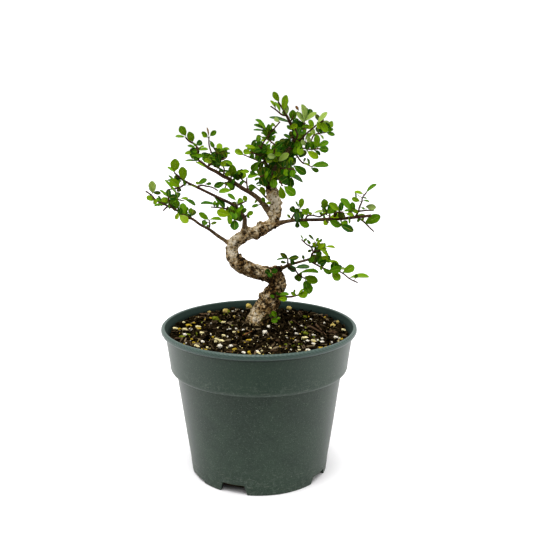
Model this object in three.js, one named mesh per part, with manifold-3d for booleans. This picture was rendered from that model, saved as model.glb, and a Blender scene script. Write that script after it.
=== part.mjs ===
// A young Chinese elm bonsai in a round plastic nursery pot, in millimetres, +Z up.
// The origin is on the floor under the middle of the pot, and the front of the pot faces -Y.
import * as THREE from "three";
import { mergeVertices } from "three/addons/utils/BufferGeometryUtils.js";
import Module from "manifold-3d";

// The pot: height and outer radii, from the foot up to the rolled rim.
const POT_HEIGHT = 128;
const FOOT_RADIUS = 58.7;
const WALL_TOP_RADIUS = 69;
const WALL_TOP = 90.5;
const COLLAR_RADIUS = 75;
const COLLAR_FOOT = 97;
const RIM_NECK_RADIUS = 77.8;
const RIM_NECK = 122.5;
const RIM_RADIUS = 82.5;
const RIM_INNER_RADIUS = 79.2;
const WALL = 1.5;
const FOOT_RING_WIDTH = 4;
const FLOOR_UNDERSIDE = 3.2;
const FLOOR_TOP = 5;
const POT_SIDES = 36;

// The drain notches in the pot's bottom edge, as angles from the front towards +X.
const NOTCH_ANGLES = [-20, 59, 160, 239];
const NOTCH_HEIGHT = 7.5;
const NOTCH_FOOT_ANGLE = 22.5;
const NOTCH_TOP_ANGLE = 18;
const NOTCH_INNER_RADIUS = 50;
const NOTCH_OUTER_RADIUS = 68;

// The potting mix: its level, its relief, and the grains that lie in its surface.
const SOIL_LEVEL = 121.5;
const SOIL_RINGS = 6;
const SOIL_MOUND = 1.6;
const SOIL_RELIEF = 0.7;
const PERLITE_COUNT = 16;
const PERLITE_RADIUS = 1.6;
const BARK_COUNT = 14;
const BARK_LENGTH = 5;
const BARK_WIDTH = 2.4;
const BARK_THICKNESS = 1.8;
const GRAIN_SPREAD = 66;
const SUNFLOWER_ANGLE = 2.39996;

// What touches keeps this gap, because each piece is a solid of its own.
const CLEARANCE = 0.3;

// Leaf blades: thickness, width to length, how far the halves fold up and the rib arches, and
// the most that a leaf is rolled (radians) or foreshortened.
const BLADE_THICKNESS = 0.68;
const BLADE_RATIO = 0.52;
const BLADE_FOLD = 0.3;
const BLADE_ARCH = 0.07;
const MOST_ROLL = 1.2;
const MOST_STRETCH = 1.4;

// The leans that are tried until a leaf hangs clear of the others, and the share of a leaf by its
// foot that may touch its twig. Slimmer leaves than the narrowest are left off.
const LEANS = [1, -1, 1.8, -1.8, 2.8, -2.8];
const FOOT_SHARE = 0.25;
const NARROWEST_LEAF = 2.1;

// A leaf whose foot stands further off than this gets a stalk of its own, sunk into the blade.
const LONGEST_BARE_FOOT = 4.5;
const STALK_RADIUS = 0.42;
const STALK_SINK = 1.6;

// Wood: twigs are three-sided and taper, stems and collars have more sides.
const TWIG_RADIUS = 0.75;
const SHOOT_RADIUS = 0.68;
const TWIG_SIDES = 3;
const STEM_SIDES = 5;
const COLLAR_SWELL = 0.15;

// Edges shorter than this are slivers of the joining and cutting.
const FINEST_EDGE = 0.03;

// The tree's places are read as x and z on the upright plane y = PLANE, from the eye.
// A place at another depth slides along its line of sight, so the outline stays the same.
const EYE = new THREE.Vector3(6.3, -634, 316);
const PLANE = 18;

const wasm = await Module();
wasm.setup();

function at(x, z, depth) {
  const share = (depth - EYE.y) / (PLANE - EYE.y);
  return new THREE.Vector3(x, PLANE, z).sub(EYE).multiplyScalar(share).add(EYE);
}

// A number from 0 to 1 that always belongs to the same place, for what varies from leaf to leaf.
function chance(x, z) {
  const wave = Math.sin(x * 12.9898 + z * 78.233) * 43758.5453;
  return wave - Math.floor(wave);
}

// A closed mesh as a solid: shared corners are merged and collapsed faces are dropped.
function solid(geometry) {
  const bare = new THREE.BufferGeometry();
  bare.setAttribute("position", geometry.getAttribute("position"));
  bare.setIndex(geometry.index);
  const merged = mergeVertices(bare, 1e-3);
  const corners = merged.index.array;
  const kept = [];
  for (let i = 0; i < corners.length; i += 3) {
    const [a, b, c] = corners.slice(i, i + 3);
    if (a !== b && b !== c && a !== c) {
      kept.push(a, b, c);
    }
  }
  return new wasm.Manifold(
    new wasm.Mesh({
      numProp: 3,
      vertProperties: new Float32Array(merged.attributes.position.array),
      triVerts: new Uint32Array(kept),
    }),
  );
}

function geometryOf(made) {
  const mesh = cleaned(made).getMesh();
  const geometry = new THREE.BufferGeometry();
  geometry.setAttribute("position", new THREE.BufferAttribute(mesh.vertProperties, 3));
  geometry.setIndex(new THREE.BufferAttribute(mesh.triVerts, 1));
  geometry.computeVertexNormals();
  return geometry;
}

function joined(pieces) {
  return pieces.reduce((whole, piece) => whole.add(piece));
}

// Leaves out the slivers that joining and cutting leave behind.
function cleaned(made) {
  return made.asOriginal().simplify(FINEST_EDGE);
}

function turned(profile, sides) {
  return new THREE.LatheGeometry(profile, sides).rotateX(Math.PI / 2);
}

// The pot

function wallRadius(height) {
  return FOOT_RADIUS + ((WALL_TOP_RADIUS - FOOT_RADIUS) * height) / WALL_TOP;
}

function potOutside() {
  return [
    [FOOT_RADIUS, 0],
    [wallRadius(8) + 0.1, 8],
    [wallRadius(9) - 0.2, 9],
    [WALL_TOP_RADIUS, WALL_TOP],
    [WALL_TOP_RADIUS + 3.4, WALL_TOP + 1.5],
    [COLLAR_RADIUS - 0.6, COLLAR_FOOT - 2.5],
    [COLLAR_RADIUS, COLLAR_FOOT],
    [RIM_NECK_RADIUS, RIM_NECK],
    [RIM_RADIUS - 1.4, POT_HEIGHT - 4.6],
    [RIM_RADIUS, POT_HEIGHT - 3],
    [RIM_RADIUS - 0.2, POT_HEIGHT - 1],
    [RIM_RADIUS - 1.4, POT_HEIGHT],
    [RIM_INNER_RADIUS + 0.5, POT_HEIGHT - 0.3],
    [RIM_INNER_RADIUS, POT_HEIGHT - 1.8],
  ];
}

// The inner face of the wall, from the top down to the floor.
function potInside() {
  return [
    [RIM_NECK_RADIUS - WALL, RIM_NECK - 0.5],
    [COLLAR_RADIUS - WALL, COLLAR_FOOT + 1.5],
    [WALL_TOP_RADIUS + 1.2, WALL_TOP + 3],
    [WALL_TOP_RADIUS - WALL, WALL_TOP - 0.5],
    [wallRadius(FLOOR_TOP + 3) - WALL, FLOOR_TOP + 3],
    [wallRadius(FLOOR_TOP) - WALL - 1.5, FLOOR_TOP],
  ];
}

function notchCutter(angle) {
  const foot = Math.tan(THREE.MathUtils.degToRad(NOTCH_FOOT_ANGLE / 2)) * FOOT_RADIUS;
  const top = Math.tan(THREE.MathUtils.degToRad(NOTCH_TOP_ANGLE / 2)) * FOOT_RADIUS;
  const outline = new THREE.Shape();
  outline.moveTo(-foot, -1);
  outline.lineTo(foot, -1);
  outline.lineTo(top, NOTCH_HEIGHT);
  outline.lineTo(-top, NOTCH_HEIGHT);
  outline.closePath();
  const depth = NOTCH_OUTER_RADIUS - NOTCH_INNER_RADIUS;
  const geometry = new THREE.ExtrudeGeometry(outline, { depth, bevelEnabled: false });
  geometry.rotateX(Math.PI / 2);
  geometry.translate(0, -NOTCH_INNER_RADIUS, 0);
  geometry.rotateZ(THREE.MathUtils.degToRad(angle));
  return solid(geometry);
}

function makePot() {
  const ring = FOOT_RADIUS - FOOT_RING_WIDTH;
  const outline = [
    [0, FLOOR_UNDERSIDE],
    [ring - 1, FLOOR_UNDERSIDE],
    [ring, 0],
    ...potOutside(),
    ...potInside(),
    [0, FLOOR_TOP],
  ];
  const profile = outline.map(([radius, height]) => new THREE.Vector2(radius, height));
  const shell = solid(turned(profile, POT_SIDES));
  return NOTCH_ANGLES.reduce((pot, angle) => pot.subtract(notchCutter(angle)), shell);
}

// Wood: a closed tube along a course of points, each with its own radius.

function framesAlong(course) {
  const frames = [];
  let side = new THREE.Vector3(0, 1, 0);
  course.forEach((stop, i) => {
    const before = course[Math.max(i - 1, 0)].point;
    const after = course[Math.min(i + 1, course.length - 1)].point;
    const toward = stop.point.clone().sub(before).normalize();
    const away = after.clone().sub(stop.point).normalize();
    const along = toward.add(away).normalize();
    side = side.clone().addScaledVector(along, -side.dot(along)).normalize();
    frames.push({ side, up: side.clone().cross(along) });
  });
  return frames;
}

function limb(course, sides) {
  const steps = course.length - 1;
  const frames = framesAlong(course);
  const geometry = new THREE.CylinderGeometry(1, 1, 1, sides, steps);
  const corners = geometry.getAttribute("position");
  for (let i = 0; i < corners.count; i++) {
    const ring = Math.round((corners.getY(i) + 0.5) * steps);
    const { point, radius } = course[ring];
    const corner = point.clone();
    corner.addScaledVector(frames[ring].side, corners.getX(i) * radius);
    corner.addScaledVector(frames[ring].up, corners.getZ(i) * radius);
    corners.setXYZ(i, corner.x, corner.y, corner.z);
  }
  return solid(geometry);
}

function lengthOf(course) {
  let length = 0;
  for (let i = 1; i < course.length; i++) {
    length += course[i].point.distanceTo(course[i - 1].point);
  }
  return length;
}

// The part of a course between two distances from its start.
function stretch(course, from, to) {
  const kept = [];
  let walked = 0;
  for (let i = 1; i < course.length; i++) {
    const [a, b] = [course[i - 1], course[i]];
    const step = a.point.distanceTo(b.point);
    const stop = (distance) => {
      const share = (distance - walked) / step;
      const radius = THREE.MathUtils.lerp(a.radius, b.radius, share);
      return { point: a.point.clone().lerp(b.point, share), radius };
    };
    if (walked <= from && from < walked + step) {
      kept.push(stop(from));
    } else if (walked > from && walked < to) {
      kept.push(a);
    }
    if (walked < to && to <= walked + step) {
      kept.push(stop(to));
    }
    walked += step;
  }
  return kept;
}

// The trunk, as x, z, radius and depth.
const TRUNK = [
  [-6, 98, 10.5, 22],
  [-3, 112, 11.5, 22],
  [-1.5, 124, 10.2, 22],
  [3.5, 134, 9.6, 22],
  [6, 140, 9.5, 22.5],
  [9.5, 148, 9.5, 23],
  [12.5, 153, 9.3, 23.5],
  [16, 158, 8.3, 24],
  [14, 165, 7.5, 23.5],
  [8, 168.5, 6.3, 22.5],
  [0, 169.5, 5.9, 20],
  [-8, 172.5, 6.2, 18],
  [-15, 175, 6.3, 16],
  [-20.5, 179.5, 6, 14.5],
  [-23, 185, 5.8, 14],
  [-23, 190, 5.2, 14],
  [-20.5, 195.5, 5.2, 14.5],
  [-15, 199.5, 5.1, 15.5],
  [-8, 202.5, 4.8, 17],
  [0, 205, 4.8, 18.5],
  [6, 208.5, 4.7, 19.5],
  [11, 212, 4.7, 20],
  [13.5, 217, 4.6, 20],
  [14.2, 224, 4.5, 19.5],
  [13.4, 230, 4.9, 19],
  [11.6, 236, 5.2, 18.5],
  [10.4, 242, 5, 18],
  [10, 248, 4.3, 18],
  [10.6, 251, 3.7, 18],
];
const TRUNK_SIDES = 10;

// Knobs and old cuts on the trunk, as x, z, radius and depth.
const TRUNK_KNOBS = [
  [15.6, 158.5, 8, 23],
  [1, 211, 3, 18.5],
  [-1.5, 200.2, 2.6, 18],
  [-14, 181.5, 3.2, 15.5],
  [14.5, 171.5, 4, 23],
  [17, 229, 2.6, 19],
  [-8, 205.5, 3, 17],
  [4.5, 157.5, 3.4, 20],
  [-24, 181, 4.4, 14],
];

function courseOf(rows) {
  return rows.map(([x, z, radius, depth]) => ({ point: at(x, z, depth), radius }));
}

// The leafy parts.
// A stem is a list of x, z and radius, and its depth runs from the first to the second value.
// A twig is a list of x and z, and its reach is how far its tip lies behind its foot.
// A leaf is its foot, its tip and its width: x, z, x, z, w.
// A spot is a leaf that is known by its middle, width and length: x, z, w, l.
// The last number of a leaf or spot is 1 where it hangs in front, -1 behind, and is left out on the others.

const LEFT_LOW = {
  name: "branch_left_low",
  depth: [15, 46],
  collar: 8,
  stem: [
    [-22.5, 190.5, 1.6],
    [-27.5, 195.5, 1.35],
    [-34.7, 200.5, 1.25],
    [-42.6, 206.5, 1.05],
    [-50.5, 210.8, 0.9],
    [-56, 215, 0.9],
    [-61.7, 217.6, 0.8],
    [-67.9, 221.6, 0.75],
    [-73.4, 225, 0.7],
    [-79, 227.3, 0.65],
    [-87.7, 232, 0.6],
    [-91, 235.8, 0.55],
    [-95.4, 239, 0.5],
  ],
  twigs: [
    { way: [[-43, 206.8], [-42, 209.6], [-42.5, 214.3]], reach: -10 },
    { way: [[-68, 221.6], [-69, 232], [-67.3, 231.7], [-64.2, 230.9]], reach: 14 },
    { way: [[-79, 227.3], [-82, 230.5]], reach: -8 },
    { way: [[-57, 215.4], [-61, 214], [-66, 215.5]], reach: -14 },
    { way: [[-73.4, 225], [-76, 229], [-76.5, 234]], reach: -14 },
  ],
  leaves: [
    [-42.9, 214.8, -50.2, 220, 4],
    [-41.5, 215, -32.7, 215, 2.5],
    [-41.2, 211, -36.7, 212.4, 2.2],
    [-66, 233, -60.5, 233, 2],
    [-62.3, 232, -54.4, 227.8, 3],
    [-76, 232.5, -76.5, 240, 4, -1],
    [-78.5, 235.2, -83, 239.5, 1.5],
    [-82.5, 231, -85, 234.8, 1.5],
    [-81.5, 229.5, -86, 233, 2.5],
    [-80, 227, -88, 226.5, 1.6],
    [-65, 219.5, -65.5, 228, 5.5],
    [-89.7, 237.5, -90, 246.6, 5.8, 1],
    [-89.5, 238, -83.5, 237.5, 3, -1],
    [-88, 232.5, -94.5, 235.5, 4],
  ],
  spots: [
    [-45.5, 212, 3.5, 4],
    [-44, 209, 2, 3],
    [-68.7, 235.3, 4.5, 5, -1],
    [-73.7, 234, 4.5, 6],
    [-72, 229.3, 5, 6],
    [-79, 232, 4, 6],
    [-75.5, 224.5, 3, 5],
    [-72, 223, 3, 5],
    [-68, 217.5, 5, 7, 1],
    [-64.3, 215, 5.5, 7, 1],
    [-62, 223, 3, 5],
    [-58.5, 222, 3, 5],
    [-56.7, 220.4, 5.5, 6, -1],
    [-58.7, 216.5, 3.5, 5, -1],
    [-87.5, 230.5, 3, 5],
  ],
};

const LEFT_MID = {
  name: "branch_left_mid",
  depth: [16, -14],
  collar: 8,
  stem: [
    [-11.5, 202, 2.6],
    [-12.2, 206, 2.2],
    [-12.3, 211.6, 1.6],
    [-12.3, 216.2, 1.4],
    [-14.5, 219.6, 1.3],
    [-17.3, 223, 1.25],
    [-20.1, 226.5, 1.05],
    [-25.8, 229.6, 0.95],
    [-32.4, 232.7, 0.9],
    [-42, 237.4, 0.85],
    [-53, 242.8, 0.8],
    [-61, 246.8, 0.7],
    [-67.2, 251.2, 0.6],
    [-70.8, 254.4, 0.5],
  ],
  twigs: [
    { way: [[-60.8, 246.6], [-66.4, 242.4], [-72, 241.2], [-76.7, 240.4]], reach: -12 },
    { way: [[-52.4, 242.5], [-48.5, 244], [-44, 243.2], [-39.5, 242.3], [-34.8, 239.6]], reach: 14 },
    { way: [[-19.8, 226.5], [-14.5, 229], [-10.6, 230.7]], reach: -8 },
    { way: [[-19, 225], [-27, 224.2], [-31.4, 224.8], [-37, 225.3], [-40.6, 225.6]], reach: -16 },
    { way: [[-12.3, 216.4], [-10.2, 219]], reach: -5 },
    { way: [[-14.5, 219.6], [-20, 219.5], [-26, 219]], reach: -14 },
  ],
  leaves: [
    [-70.7, 256.3, -70.2, 265.5, 6.8],
    [-63.5, 249, -64.6, 259, 6.8],
    [-71, 255, -76, 259.2, 1.8],
    [-66.5, 244, -73.5, 249.7, 5],
    [-71, 247, -75, 251, 1.5],
    [-60.8, 244, -53, 243, 1.3],
    [-70, 237.5, -78.2, 247.3, 1.2, 1],
    [-51.3, 245, -44.6, 249, 3.5],
    [-50, 245.5, -53, 246.3, 2.2],
    [-45, 245, -40.5, 245.6, 2.3],
    [-18.5, 228.5, -14.5, 232, 4.5],
    [-19.8, 231.5, -25.8, 236.4, 3],
    [-35.5, 227, -48, 228.5, 1.5],
    [-38.3, 235, -30, 226, 4.2, -1],
    [-20.7, 214.5, -21, 206.8, 6.3, 1],
  ],
  spots: [
    [-68.8, 250.5, 3, 6, -1],
    [-68.5, 241, 3.8, 5, -1],
    [-63, 245.5, 1.8, 5],
    [-11.7, 232.7, 3.5, 4.5],
    [-14.8, 226.5, 2.8, 5],
    [-37.5, 228, 2.2, 5],
    [-30, 220.2, 6, 10, 1],
    [-25.7, 216.3, 3.5, 9, 1],
    [-23.5, 223.6, 4.5, 7],
    [-21.3, 218.6, 5, 6],
    [-21.8, 227, 4, 6, -1],
    [-15.7, 216.8, 5.5, 6, -1],
    [-13.4, 222.2, 3.5, 5.5],
    [-8.1, 220, 3.5, 5.5],
    [-9.8, 217.6, 1.8, 4],
  ],
};

const LEFT_HIGH = {
  name: "branch_left_high",
  depth: [19, 44],
  collar: 7,
  stem: [
    [12.5, 217, 2.8],
    [6.7, 224.2, 2.5],
    [2.2, 229.9, 1.9],
    [-3.3, 235, 1.7],
    [-9, 238.7, 1.5],
    [-14.5, 241.8, 1.5],
    [-20.1, 245.7, 1.5],
    [-24.6, 249.1, 1.3],
    [-30.2, 251.8, 1.3],
    [-36, 255.5, 1.2],
    [-42.6, 258.8, 1.1],
    [-47.3, 262.7, 0.9],
    [-50.7, 265.5, 0.8],
    [-51.3, 274.8, 0.7],
    [-53.4, 278.2, 0.6],
    [-57.8, 280.6, 0.55],
    [-60.6, 283.4, 0.5],
  ],
  twigs: [
    {
      way: [[-42.6, 258.8], [-41, 264], [-38, 267.7], [-39.7, 271.5], [-41.5, 277.6], [-41.6, 283.1]],
      reach: 14,
    },
    { way: [[-41.8, 260.5], [-36.8, 264.3], [-31.8, 265], [-27.3, 267]], reach: -14 },
    { way: [[-36.8, 264.3], [-35, 270], [-37.7, 275.5]], reach: -8 },
    { way: [[-24.6, 249.1], [-22, 252.5]], reach: 8 },
    { way: [[-9.3, 239], [-10.3, 246], [-10.2, 250.4]], reach: 10 },
    { way: [[-10.2, 245.7], [-15, 249.4]], reach: 8 },
    { way: [[-3.3, 235], [-1.5, 238.5], [-2.3, 241.3]], reach: 5 },
    { way: [[-30.2, 251.8], [-29, 257], [-30.5, 261]], reach: -12 },
    { way: [[-24.6, 249.1], [-27.5, 244.5], [-29, 241]], reach: -12 },
    { way: [[2.2, 229.9], [0.6, 227.6]], reach: -5 },
    { way: [[-31.8, 265], [-31.6, 270], [-32, 273]], reach: 8 },
  ],
  leaves: [
    [-60.8, 285.3, -64.8, 292.3, 5.5],
    [-61.5, 284.2, -68.6, 284.7, 2],
    [-55, 280.5, -57.8, 287.6, 5.5],
    [-52.8, 275, -58.9, 276.8, 2],
    [-50, 273.3, -43.2, 274, 2.2],
    [-51.3, 269.5, -61, 270.7, 3],
    [-52.5, 264.4, -60.9, 264.7, 1.5],
    [-53, 263.3, -45.4, 260, 2.3],
    [-42.6, 284.7, -47, 288, 3.3],
    [-40.4, 285.2, -36, 288.8, 3.8],
    [-41.7, 285, -43, 291.3, 1.2],
    [-40.5, 281, -37.8, 276, 3],
    [-31, 274, -25, 274.2, 2],
    [-29.3, 270, -24.2, 270.7, 1.5],
    [-29.2, 265, -22.8, 261.3, 2.8],
    [-34.7, 258.8, -29.7, 255.4, 2, -1],
    [-23, 252.5, -22, 260, 6],
    [-15.8, 255.7, -9, 255.5, 3],
    [-2, 243.5, 1.5, 243.6, 1.2],
  ],
  spots: [
    [-50, 279, 4.5, 5, -1],
    [-47.8, 276, 1.5, 4],
    [-52.9, 272.7, 3, 4],
    [-54, 268, 3.5, 5],
    [-50.6, 267.2, 3, 4],
    [-44.5, 269.4, 5, 6, -1],
    [-41.6, 268.3, 5, 7],
    [-42, 264.4, 4, 6, 1],
    [-38.4, 262.7, 4, 5, -1],
    [-34.5, 261, 3, 5, -1],
    [-44.8, 284.8, 2.5, 4],
    [-32.6, 275.4, 4.5, 6],
    [-31, 271, 3.5, 7, -1],
    [-27.6, 268.9, 3, 4.5],
    [-27.5, 261, 3, 5],
    [-32.5, 262, 2.5, 5, -1],
    [-27.5, 256, 1.8, 4],
    [-17.4, 254.8, 3.5, 5],
    [-13.5, 251.5, 4, 6],
    [-19, 250.3, 3, 5],
    [-33, 245, 5, 8.5, 1],
    [-27.8, 238.9, 4, 10, 1],
    [-25, 245, 5, 6, -1],
    [-22, 243, 4, 6, -1],
    [-15, 244.5, 2.5, 7.5, -1],
    [-5, 242.5, 4, 6, -1],
    [3.4, 239.5, 3.5, 6.5],
    [-2.6, 226.7, 2.5, 6],
    [-1.7, 231.3, 1.8, 5],
  ],
};

const RIGHT_MID = {
  name: "branch_right_mid",
  depth: [20, -12],
  collar: 7,
  stem: [
    [11.5, 210, 2.4],
    [17, 211.8, 1.9],
    [22.2, 213.1, 1.3],
    [28.8, 214.1, 1.1],
    [35.3, 214.5, 1],
    [49.6, 214.8, 1.1],
    [58.8, 215.1, 1.2],
    [67.9, 215.5, 1.1],
    [74.4, 216.1, 1],
    [80.9, 216.8, 1],
    [87.4, 217.4, 0.9],
    [95.2, 218.4, 0.85],
  ],
  twigs: [
    { way: [[26.8, 214], [29.5, 219], [32, 222], [34, 224]], reach: 10 },
    {
      way: [[39.2, 214.6], [41.2, 218.1], [45.7, 218.4], [50.9, 217.4], [53.5, 218.4], [58, 220.7]],
      reach: -14,
    },
    { way: [[59.5, 215.2], [59.8, 220], [56.2, 224]], reach: 14 },
    { way: [[63, 215.4], [65.3, 220.7], [70.5, 221.3]], reach: -10 },
    { way: [[80.9, 216.8], [78.9, 220], [75.7, 222.7]], reach: 14 },
    {
      way: [[81.5, 216.9], [84.2, 222], [85, 225.4], [87, 230.6], [87.2, 233.2], [90.4, 237.8]],
      reach: -12,
    },
    { way: [[84.2, 222], [90.7, 222.7], [97, 222.7]], reach: 10 },
    { way: [[82.8, 216.9], [86.7, 214.8], [90, 212.2], [93.8, 208.3], [97.7, 204.7]], reach: 14 },
    { way: [[56, 215], [59, 212.6]], reach: -12 },
    { way: [[69, 215.6], [70.5, 211.2]], reach: -10 },
  ],
  leaves: [
    [34.9, 224.3, 36.3, 232.2, 4.3],
    [33.7, 225.3, 31, 230, 1.3],
    [30.9, 220.7, 27.2, 225.3, 4.5, -1],
    [26.8, 216, 24.2, 219, 2],
    [40.4, 220.7, 44.7, 220, 2],
    [34, 213, 41.8, 209.5, 5],
    [46.4, 220.4, 53.5, 221.7, 1.8, 1],
    [52.2, 218, 56, 220.7, 1.8],
    [56.2, 224.6, 55, 231.5, 5.2],
    [55.5, 224.7, 52.7, 226.7, 2],
    [67.5, 222.5, 60.2, 228.4, 4.5, 1],
    [60.3, 217, 70.5, 218.8, 3.8, 1],
    [77.6, 222.7, 70, 232, 4.8, -1],
    [80.2, 221.5, 78.8, 229, 4],
    [71.8, 222, 76.3, 222.7, 1.8],
    [73.6, 220, 79.5, 218.5, 2.5],
    [90.4, 238.1, 97.8, 244.3, 2.4],
    [87.8, 236.5, 81, 238.5, 2.2],
    [81, 237.5, 82, 233.2, 1.2],
    [85, 230.6, 79, 232.9, 3.5],
    [87.5, 233.5, 90.8, 233, 1.2],
    [88.3, 231, 93, 230.3, 1.5],
    [86.2, 225.4, 89.4, 224, 1.5],
    [90.7, 213.5, 101.8, 216.8, 7],
    [82.8, 218, 89.3, 218.8, 2],
    [60, 214, 68.5, 209.5, 5],
    [69.5, 210, 79.3, 205.5, 5],
  ],
  spots: [
    [32, 216.8, 4, 7, 1],
    [35, 220, 5, 6, -1],
    [38, 222.7, 3, 5],
    [41.1, 222, 3, 5],
    [32.5, 210.8, 3.5, 5, -1],
    [56.1, 221.4, 3.5, 7, -1],
    [55.1, 216.8, 1.8, 4],
    [60, 224, 3.5, 6, -1],
    [69.7, 225.5, 3.5, 7, -1],
    [61.3, 221.5, 3.5, 5],
    [71.1, 219, 3, 5, -1],
    [94.6, 225.6, 4.5, 9, 1],
    [84.8, 214.8, 2.2, 4],
    [57, 212.5, 3.8, 4.5, 1],
    [71.8, 211.8, 3.5, 6.5, -1],
    [76.5, 215, 1.5, 6],
  ],
};

const RIGHT_LOW = {
  name: "branch_right_low",
  depth: [23, 10],
  collar: 7.5,
  stem: [
    [13, 171, 2.2],
    [18.4, 172.4, 1.6],
    [22.1, 173.7, 1.15],
    [24.7, 175.4, 1],
    [30, 176.8, 0.9],
    [36, 178.5, 0.8],
    [40.6, 179.8, 0.8],
    [44.6, 181.8, 0.8],
    [45.4, 185.2, 0.7],
    [47.2, 187, 0.6],
    [48, 190, 0.55],
    [47.7, 194.6, 0.5],
  ],
  twigs: [
    { way: [[46.5, 186.3], [44.5, 191], [40.5, 193.6], [36.2, 197.6]], reach: 14 },
    { way: [[47.5, 187.5], [51.2, 188], [54.5, 190]], reach: -12 },
    {
      way: [[41.5, 180.2], [47.3, 176.8], [54.5, 173], [62.5, 170], [70, 169.3], [78.3, 163.2], [85.2, 159.8]],
      reach: -20,
    },
    { way: [[24.2, 175], [27, 172.5], [30.8, 171], [34, 167], [37.4, 164.6], [40, 163]], reach: 10 },
    { way: [[24.7, 175.4], [24.5, 181]], reach: -8 },
    { way: [[44.6, 181.8], [50, 182.5], [56, 181]], reach: 16 },
  ],
  leaves: [
    [24.2, 181, 19.2, 184.9, 3.5],
    [24.9, 181.5, 33, 182.1, 3.8],
    [22.9, 181.2, 15.6, 180.2, 1.3],
    [23.5, 177.2, 19, 178.2, 2.2],
    [22.8, 175, 30.8, 170.8, 5],
    [31.4, 173, 42.3, 174, 3.5],
    [35, 168.3, 49.4, 169, 2.8],
    [39.3, 165, 49.5, 161, 6.5],
    [40, 161.5, 43.5, 151, 7.5],
    [37.2, 197.3, 35.5, 201, 1],
    [40.7, 197.7, 43.6, 194, 2.2],
    [46.9, 197.3, 42.6, 201.3, 1.8],
    [50.8, 195, 53.5, 197.7, 2],
    [56.8, 191.6, 64.3, 191, 1.6],
    [54, 187.3, 59, 184.2, 1.8],
    [59.8, 179.3, 67.7, 176, 3, 1],
    [56.3, 171.8, 62.3, 168.4, 3],
    [63, 169, 69, 162.8, 6],
    [69, 172, 73.7, 172.3, 2],
    [72.3, 168.8, 81, 173.8, 6],
    [78.6, 164.3, 93.2, 165.3, 3.2],
  ],
  spots: [
    [27, 178.4, 3.5, 6, -1],
    [38, 181.8, 2.2, 4, -1],
    [35, 164, 5.5, 6.5],
    [39, 197, 2, 4],
    [49.5, 197.3, 2.5, 4, -1],
    [50.8, 193.3, 3, 4],
    [55, 191.3, 4, 6],
    [52.8, 190, 3.5, 4],
    [43.8, 188, 2.2, 4, -1],
    [50.9, 184, 4.5, 7, -1],
    [46.8, 191.7, 2, 4],
    [44.5, 179.5, 4, 6],
    [47.8, 180.5, 3.5, 5, -1],
    [52, 180.3, 4, 6, -1],
    [57, 181.3, 4, 7],
    [55, 176, 3.5, 8, -1],
    [64.4, 172.4, 5.5, 10, -1],
  ],
};

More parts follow.
